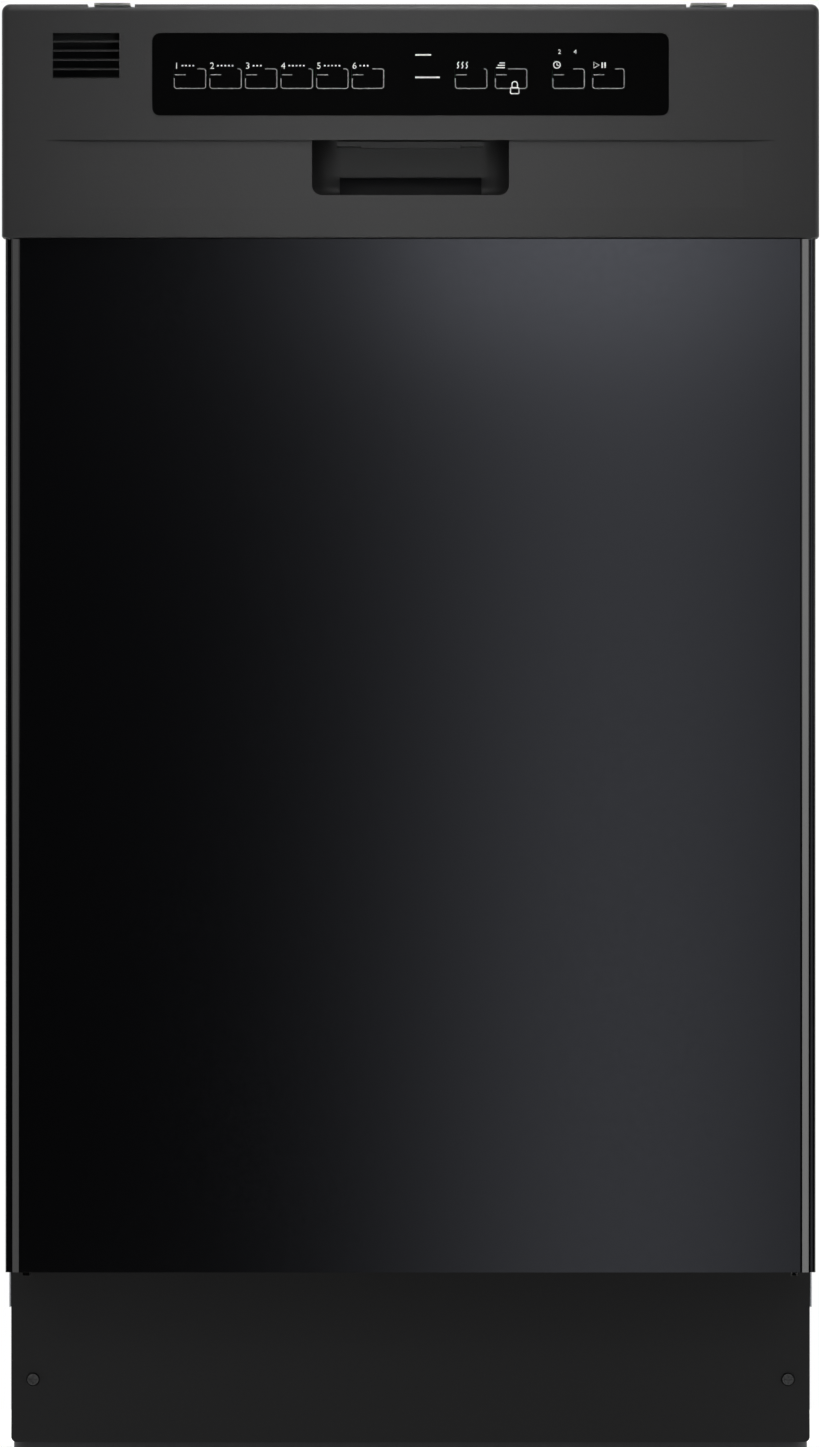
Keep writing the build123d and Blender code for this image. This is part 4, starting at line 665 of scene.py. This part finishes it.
# %% Key frames
FRAME_HALF, FRAME_RISE, FRAME_END, FRAME_BEND = 8.6, 5.35, 0.2, 1.3
LINE_START, LINE_END, LINE_RISE = -8.2, -2.4, 2.1
FRAME_STARTS = {
    "cycle_1": 4.2, "cycle_2": 6.6, "cycle_3": 2.1, "cycle_4": 6.4, "cycle_5": 6.0, "cycle_6": 2.5,
    "option_heat": 7.0, "option_dry": -1.5, "option_delay": 2.6, "option_start": 3.6,
}
key_middle = {}
for name, start in FRAME_STARTS.items():
    low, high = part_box("key_" + name)
    x, z = (low.x + high.x) / 2 / MM, (low.z + high.z) / 2 / MM
    key_middle[name] = (x, z)
    frame_line = stroke([(x + start, z + FRAME_RISE), (x + FRAME_HALF, z + FRAME_RISE),
                         (x + FRAME_HALF, z - FRAME_RISE), (x - FRAME_HALF, z - FRAME_RISE),
                         (x - FRAME_HALF, z + FRAME_END)], THIN, bend=FRAME_BEND)
    underline = stroke([(x + LINE_START, z + LINE_RISE), (x + LINE_END, z + LINE_RISE)], THIN)
    press_flat([frame_line, underline], KEY_Y, "frame_" + name, "key_" + name, inks["grey"])
print("key frames:", len(key_middle))

# %% [markdown]
# ## Numbers
# The six cycles are numbered from left to right, each with a short row of dots beside its number.

# %% Numbers and dots
DOTS = {"cycle_1": 4, "cycle_2": 5, "cycle_3": 3, "cycle_4": 5, "cycle_5": 5, "cycle_6": 3}
LABEL_RISE, LABEL_HEIGHT = 5.4, 3.5
DOT_START, DOT_STEP, DOT_LENGTH, DOT_RISE = 4.0, 2.0, 0.9, 1.7
signs = []
for label, (name, count) in enumerate(DOTS.items(), 1):
    x, z = key_middle[name]
    left, base = x - FRAME_HALF, z + LABEL_RISE
    signs.append(number(str(label), left, base, LABEL_HEIGHT))
    for dot in range(count):
        start = left + DOT_START + dot * DOT_STEP
        signs.append(stroke([(start, base + DOT_RISE), (start + DOT_LENGTH, base + DOT_RISE)], BOLD))
print("numbers and dots:", len(signs))

# %% [markdown]
# ## Signs
# The other keys get a sign: waves for heat, a stack of lines and a padlock for drying, a clock with two
# plain hour marks for the delay, a triangle and two bars for the start. Two lines stand between the two
# groups of keys. Numbers and signs lie on the film, so they ride on the door.
# Each outline is given round its own zero, and its call says where on a key that zero lies.

# %% Signs


def sign(name, right, up, points, radius=MEDIUM, bend=0.0, ring=False):
    """A stroke in millimetres whose own zero lies right and up of the middle of a key."""
    x, z = key_middle[name]
    signs.append(stroke([(x + right + a, z + up + b) for a, b in points], radius, bend, ring))


WAVE = [(0, 0), (0.9, 1.2), (0, 2.4), (0.9, 3.6)]
CLOCK_FACE = [(-1.8, -1.8), (1.8, -1.8), (1.8, 1.8), (-1.8, 1.8)]
CLOCK_HANDS = [(0, 1.2), (0, 0), (1.0, -0.5)]
PLAY = [(0, 0), (3.0, 1.6), (0, 3.2)]
LOCK_CASE = [(-2.3, -1.65), (2.3, -1.65), (2.3, 1.65), (-2.3, 1.65)]
LOCK_BOW = [(-1.5, 1.65), (-1.5, 4.95), (1.5, 4.95), (1.5, 1.65)]
for step in range(3):
    sign("option_heat", -7.6 + step * 2.4, 5.6, WAVE, bend=0.5)
for step in range(3):
    sign("option_dry", -3.4, 6.0 + step * 1.3, [(step * 0.9 - 4.8, 0), (0, 0)])
sign("option_delay", -6.4, 7.5, CLOCK_FACE, bend=1.7, ring=True)
sign("option_delay", -6.4, 7.5, CLOCK_HANDS, THIN)
x, z = key_middle["option_delay"]
for hours, right in (("2", -5.8), ("4", 2.8)):
    signs.append(number(hours, x + right, z + 13.6, 2.4))
sign("option_start", -8.0, 5.8, PLAY, ring=True)
for right in (-3.4, -1.8):
    sign("option_start", right, 5.9, [(0, 0), (0, 3.0)], BOLD)
sign("option_dry", 2.0, -6.55, LOCK_CASE, bend=0.5, ring=True)
sign("option_dry", 2.0, -6.55, LOCK_BOW, bend=1.4)
STATE_X = 2.6
STATE_LENGTHS = {795.6: 8.6, 783.3: 13.5}
for z, length in STATE_LENGTHS.items():
    signs.append(stroke([(STATE_X, z), (STATE_X + length, z)], BOLD))
sign_count = len(signs)
press_flat(signs, FILM_Y, "overlay_signs", "door", inks["white"])
print("numbers, dots and signs:", sign_count)

# %% [markdown]
# ## Sheet-metal screws
# The side panels are held by screws with a hexagon head on a washer face: a row along the base tray, and
# a column down the fold of the rear panel. One head is built from two bevelled discs, and copied.

# %% Screw heads on the panels
WASHER_RADIUS, HEAD_RADIUS = 4.4, 3.6
ROW_RISE, FRONT_INSET, FOLD_INSET = 46, 20, 9
COLUMN_SHARES = (0.36, 0.66, 0.95)
washer = bevelled_disc(24, WASHER_RADIUS, -0.2, 0.5, top_bevel=0.2, bottom_bevel=0.1)
head = bevelled_disc(6, HEAD_RADIUS, 0.4, 1.7, top_bevel=0.3, bottom_bevel=0.1)
model_head = join([washer, head])
low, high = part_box("side_panel_right")
row_z = low.z + ROW_RISE * MM
fold_y = high.y - FOLD_INSET * MM
spots = [(low.y + FRONT_INSET * MM, row_z), (0.0, row_z), (fold_y, row_z)]
spots += [(fold_y, low.z + (high.z - low.z) * share) for share in COLUMN_SHARES]
heads = []
for side in (-1, 1):
    for y, z in spots:
        only(model_head)
        bpy.ops.object.duplicate(linked=False)
        twin = bpy.context.active_object
        twin.location = (side * high.x, y, z)
        twin.rotation_euler = (0, math.radians(90 * side), 0)
        heads.append(twin)
screw_count = len(heads)
bpy.data.objects.remove(model_head)
settle(join(heads), "panel_screws", "cabinet", finishes["plated_steel"])
print("panel screws:", screw_count)

# %% [markdown]
# ## Camera
# The photograph is a straight front view with a very long lens. The camera stands twelve metres away, and
# its lens follows from the size of one pixel on the front.

# %% Camera
PHOTO_HEIGHT = 1447
MM_PER_PIXEL = 0.5477
CAMERA_DISTANCE = 12.0
CAMERA_HEIGHT = 0.4294
FRONT_Y = cad_low.y

camera_data = bpy.data.cameras.new("camera")
camera_data.sensor_width = 36.0
camera_data.lens = camera_data.sensor_width * CAMERA_DISTANCE / (PHOTO_HEIGHT * MM_PER_PIXEL * MM)
camera_data.clip_end = 100.0
camera = bpy.data.objects.new("camera", camera_data)
bpy.context.scene.collection.objects.link(camera)
camera.location = (0.0, FRONT_Y - CAMERA_DISTANCE, CAMERA_HEIGHT)
camera.rotation_euler = (math.radians(90), 0, 0)
bpy.context.scene.camera = camera
print("lens in mm:", round(camera_data.lens))

# %% [markdown]
# ## Two kinds of lamp
# A soft box is a wide lamp for even light. Its strength is given as radiance, which is how bright it looks
# in a mirror, whatever its size. A spot lamp reaches one place and leaves the rest alone.
# Both are hung at a place in metres and turned to their target.

# %% Soft boxes and spot lamps
SPOT_RADIUS = 0.12


def hang(name, lamp, place, target):
    """Hang a lamp at a place in metres and turn it to its target."""
    holder = bpy.data.objects.new(name, lamp)
    bpy.context.scene.collection.objects.link(holder)
    holder.location = place
    holder.rotation_euler = (Vector(target) - Vector(place)).to_track_quat("-Z", "Y").to_euler()
    return holder


def soft_box(name, place, target, width, height, radiance, colour="#ffffff"):
    lamp = bpy.data.lights.new(name, "AREA")
    lamp.shape = "RECTANGLE"
    lamp.size = width
    lamp.size_y = height
    lamp.energy = radiance * math.pi * width * height
    lamp.color = linear(colour)[:3]
    hang(name, lamp, place, target).visible_camera = False


def spot_lamp(name, place, target, watts, cone):
    lamp = bpy.data.lights.new(name, "SPOT")
    lamp.energy = watts
    lamp.spot_size = math.radians(cone)
    lamp.spot_blend = 1.0
    lamp.shadow_soft_size = SPOT_RADIUS
    hang(name, lamp, place, target)


# %% [markdown]
# ## The glow in the door
# A black gloss door only shows what it mirrors: a dark room in front of it, and a slow glow to the right of
# the camera. Narrow strips of cool white make that glow, each one weaker than its neighbour nearer the
# middle. A second, shorter row brightens the top of the door.

# %% Glow strips
MIRROR_Y = -2.78
GLOW_X, GLOW_Z, GLOW_STEP, GLOW_HEIGHT = 0.152, 0.45, 0.055, 1.1
GLOW_SPREAD, GLOW_RADIANCE = 0.095, 1.2
TOP_GLOW_Z, TOP_GLOW_WIDTH, TOP_GLOW_HEIGHT, TOP_GLOW_RADIANCE = 0.84, 0.1, 0.3, 2.9
TOP_GLOW_SHARES = {-0.05: 0.15, 0.05: 0.9, 0.15: 1.0, 0.25: 0.5}
COOL_WHITE = "#ecf0ff"
for step in range(-4, 5):
    offset = step * GLOW_STEP
    share = math.exp(-(offset / GLOW_SPREAD) ** 2 / 2)
    x = GLOW_X + offset
    soft_box("glow_strip", (x, MIRROR_Y, GLOW_Z), (x, 0.0, GLOW_Z), GLOW_STEP, GLOW_HEIGHT,
             GLOW_RADIANCE * share, COOL_WHITE)
for x, share in TOP_GLOW_SHARES.items():
    soft_box("top_glow", (x, MIRROR_Y, TOP_GLOW_Z), (x, 0.0, TOP_GLOW_Z), TOP_GLOW_WIDTH, TOP_GLOW_HEIGHT,
             TOP_GLOW_RADIANCE * share, COOL_WHITE)
print("glow strips:", len(bpy.data.lights))

# %% [markdown]
# ## Boxes and spots
# Soft boxes at both sides, above and behind light the matt parts, and a thin box at each side draws the
# door's bevels. Three spot lamps reach what the boxes miss: the console's face, its upper edge and, from
# low in front, the back of the handle pocket, whose trough stays dark.

# %% Boxes and spots
MIDDLE = (0.0, -0.28, 0.6)
soft_box("key_box", (0.05, -1.2, 1.75), (0.0, -0.28, 0.7), 1.1, 0.7, 2.2)
soft_box("fill_left", (-1.1, -2.4, 1.45), MIDDLE, 0.9, 0.7, 2.0)
soft_box("fill_right", (1.2, -2.4, 1.45), MIDDLE, 0.9, 0.7, 1.9)
soft_box("edge_left", (-1.5, -0.25, 0.45), (0.0, -0.25, 0.45), 0.3, 1.3, 1.1)
soft_box("edge_right", (1.5, -0.25, 0.45), (0.0, -0.25, 0.45), 0.3, 1.3, 3.1)
soft_box("top_box", (0.0, 0.3, 2.6), (0.0, 0.2, 0.8), 3.2, 2.6, 0.55)
soft_box("wall_left", (-1.9, -1.7, 1.2), MIDDLE, 1.2, 1.6, 0.9)
soft_box("wall_right", (1.9, -1.7, 1.2), MIDDLE, 1.2, 1.6, 0.9)
soft_box("back_box", (0.6, 2.2, 1.6), (0.0, 0.2, 0.4), 1.6, 1.2, 2.2)
spot_lamp("console_spot", (0.03, -1.6, 1.9), (0.03, FRONT_Y, 0.775), 38.0, 24)
spot_lamp("crown_spot", (0.0, -0.8, 2.2), (0.0, FRONT_Y, 0.82), 60.0, 21)
spot_lamp("pocket_spot", (0.0, -2.0, 0.15), (0.0, FRONT_Y, 0.75), 40.0, 14)
print("lamps:", len(bpy.data.lights))

# %% [markdown]
# ## Surroundings
# The room behind the camera stays dark, or the door would mirror it, and the rest of the surroundings is
# white. The camera sees white everywhere, and so do metal and glass, apart from that dark room.
# The Standard view transform shows colours as they are written.

# %% Surroundings
WHITE_FROM, DARK_FROM = math.cos(math.radians(115)), math.cos(math.radians(92))
DARK_LEVEL = 0.02
AMBIENT = 0.85


def ray_marks(tree):
    """Two values that are 1 for mirrored or refracted rays, and 1 for rays from the camera."""
    rays = add_node(tree, "ShaderNodeLightPath").outputs
    mirrored = add_node(tree, "ShaderNodeMath", {0: rays["Is Glossy Ray"], 1: rays["Is Transmission Ray"]},
                        operation="MAXIMUM")
    return mirrored.outputs[0], rays["Is Camera Ray"]


world = bpy.data.worlds.new("studio")
bpy.context.scene.world = world
world.use_nodes = True
tree = world.node_tree
tree.nodes.clear()
towards = add_node(tree, "ShaderNodeTexCoord").outputs["Generated"]
frontal = add_node(tree, "ShaderNodeVectorMath", {0: towards, 1: (0, -1, 0)}, operation="DOT_PRODUCT")
around = add_node(tree, "ShaderNodeMapRange",
                  {"Value": frontal.outputs["Value"], "From Min": WHITE_FROM, "From Max": DARK_FROM,
                   "To Min": 1.0, "To Max": DARK_LEVEL})
mirrored, from_camera = ray_marks(tree)
level = add_node(tree, "ShaderNodeMapRange", {"Value": mirrored, "To Min": AMBIENT, "To Max": 1.0})
lit = add_node(tree, "ShaderNodeMath", {0: level.outputs[0], 1: around.outputs[0]}, operation="MULTIPLY")
seen = add_node(tree, "ShaderNodeMath", {0: lit.outputs[0], 1: from_camera}, operation="MAXIMUM")
background = add_node(tree, "ShaderNodeBackground", {"Color": (1, 1, 1, 1), "Strength": seen.outputs[0]})
add_node(tree, "ShaderNodeOutputWorld", {"Surface": background.outputs[0]})
bpy.context.scene.view_settings.view_transform = "Standard"
print("nodes of the surroundings:", len(tree.nodes))

# %% [markdown]
# ## Floor
# The floor keeps the shadow, and its own glow rises towards its edge, where it meets the white.

# %% Floor
FLOOR_RADIUS, FLOOR_Y = 1.3, 0.15
FLOOR_LIFT, FADE_FROM = 0.35, 0.6
bpy.ops.object.select_all(action="DESELECT")
bpy.ops.mesh.primitive_circle_add(vertices=96, radius=FLOOR_RADIUS, fill_type="NGON",
                                  location=(0, FLOOR_Y, 0))
floor = bpy.context.active_object
floor.name = "floor"
finish, tree, shader, place = start_finish("studio_floor", "#e9e9e8", 0.8)
mirrored, from_camera = ray_marks(tree)
watched = add_node(tree, "ShaderNodeMath", {0: mirrored, 1: from_camera}, operation="MAXIMUM")
reach = add_node(tree, "ShaderNodeVectorMath", {0: place}, operation="LENGTH")
fade = add_node(tree, "ShaderNodeMapRange",
                {"Value": reach.outputs["Value"], "From Min": FADE_FROM, "From Max": FLOOR_RADIUS,
                 "To Min": FLOOR_LIFT, "To Max": 1.0})
lift = add_node(tree, "ShaderNodeMath", {0: watched.outputs[0], 1: fade.outputs[0]}, operation="MULTIPLY")
shader.inputs["Emission Color"].default_value = (1, 1, 1, 1)
tree.links.new(lift.outputs[0], shader.inputs["Emission Strength"])
floor.data.materials.append(finish)
print("floor radius in m:", FLOOR_RADIUS)
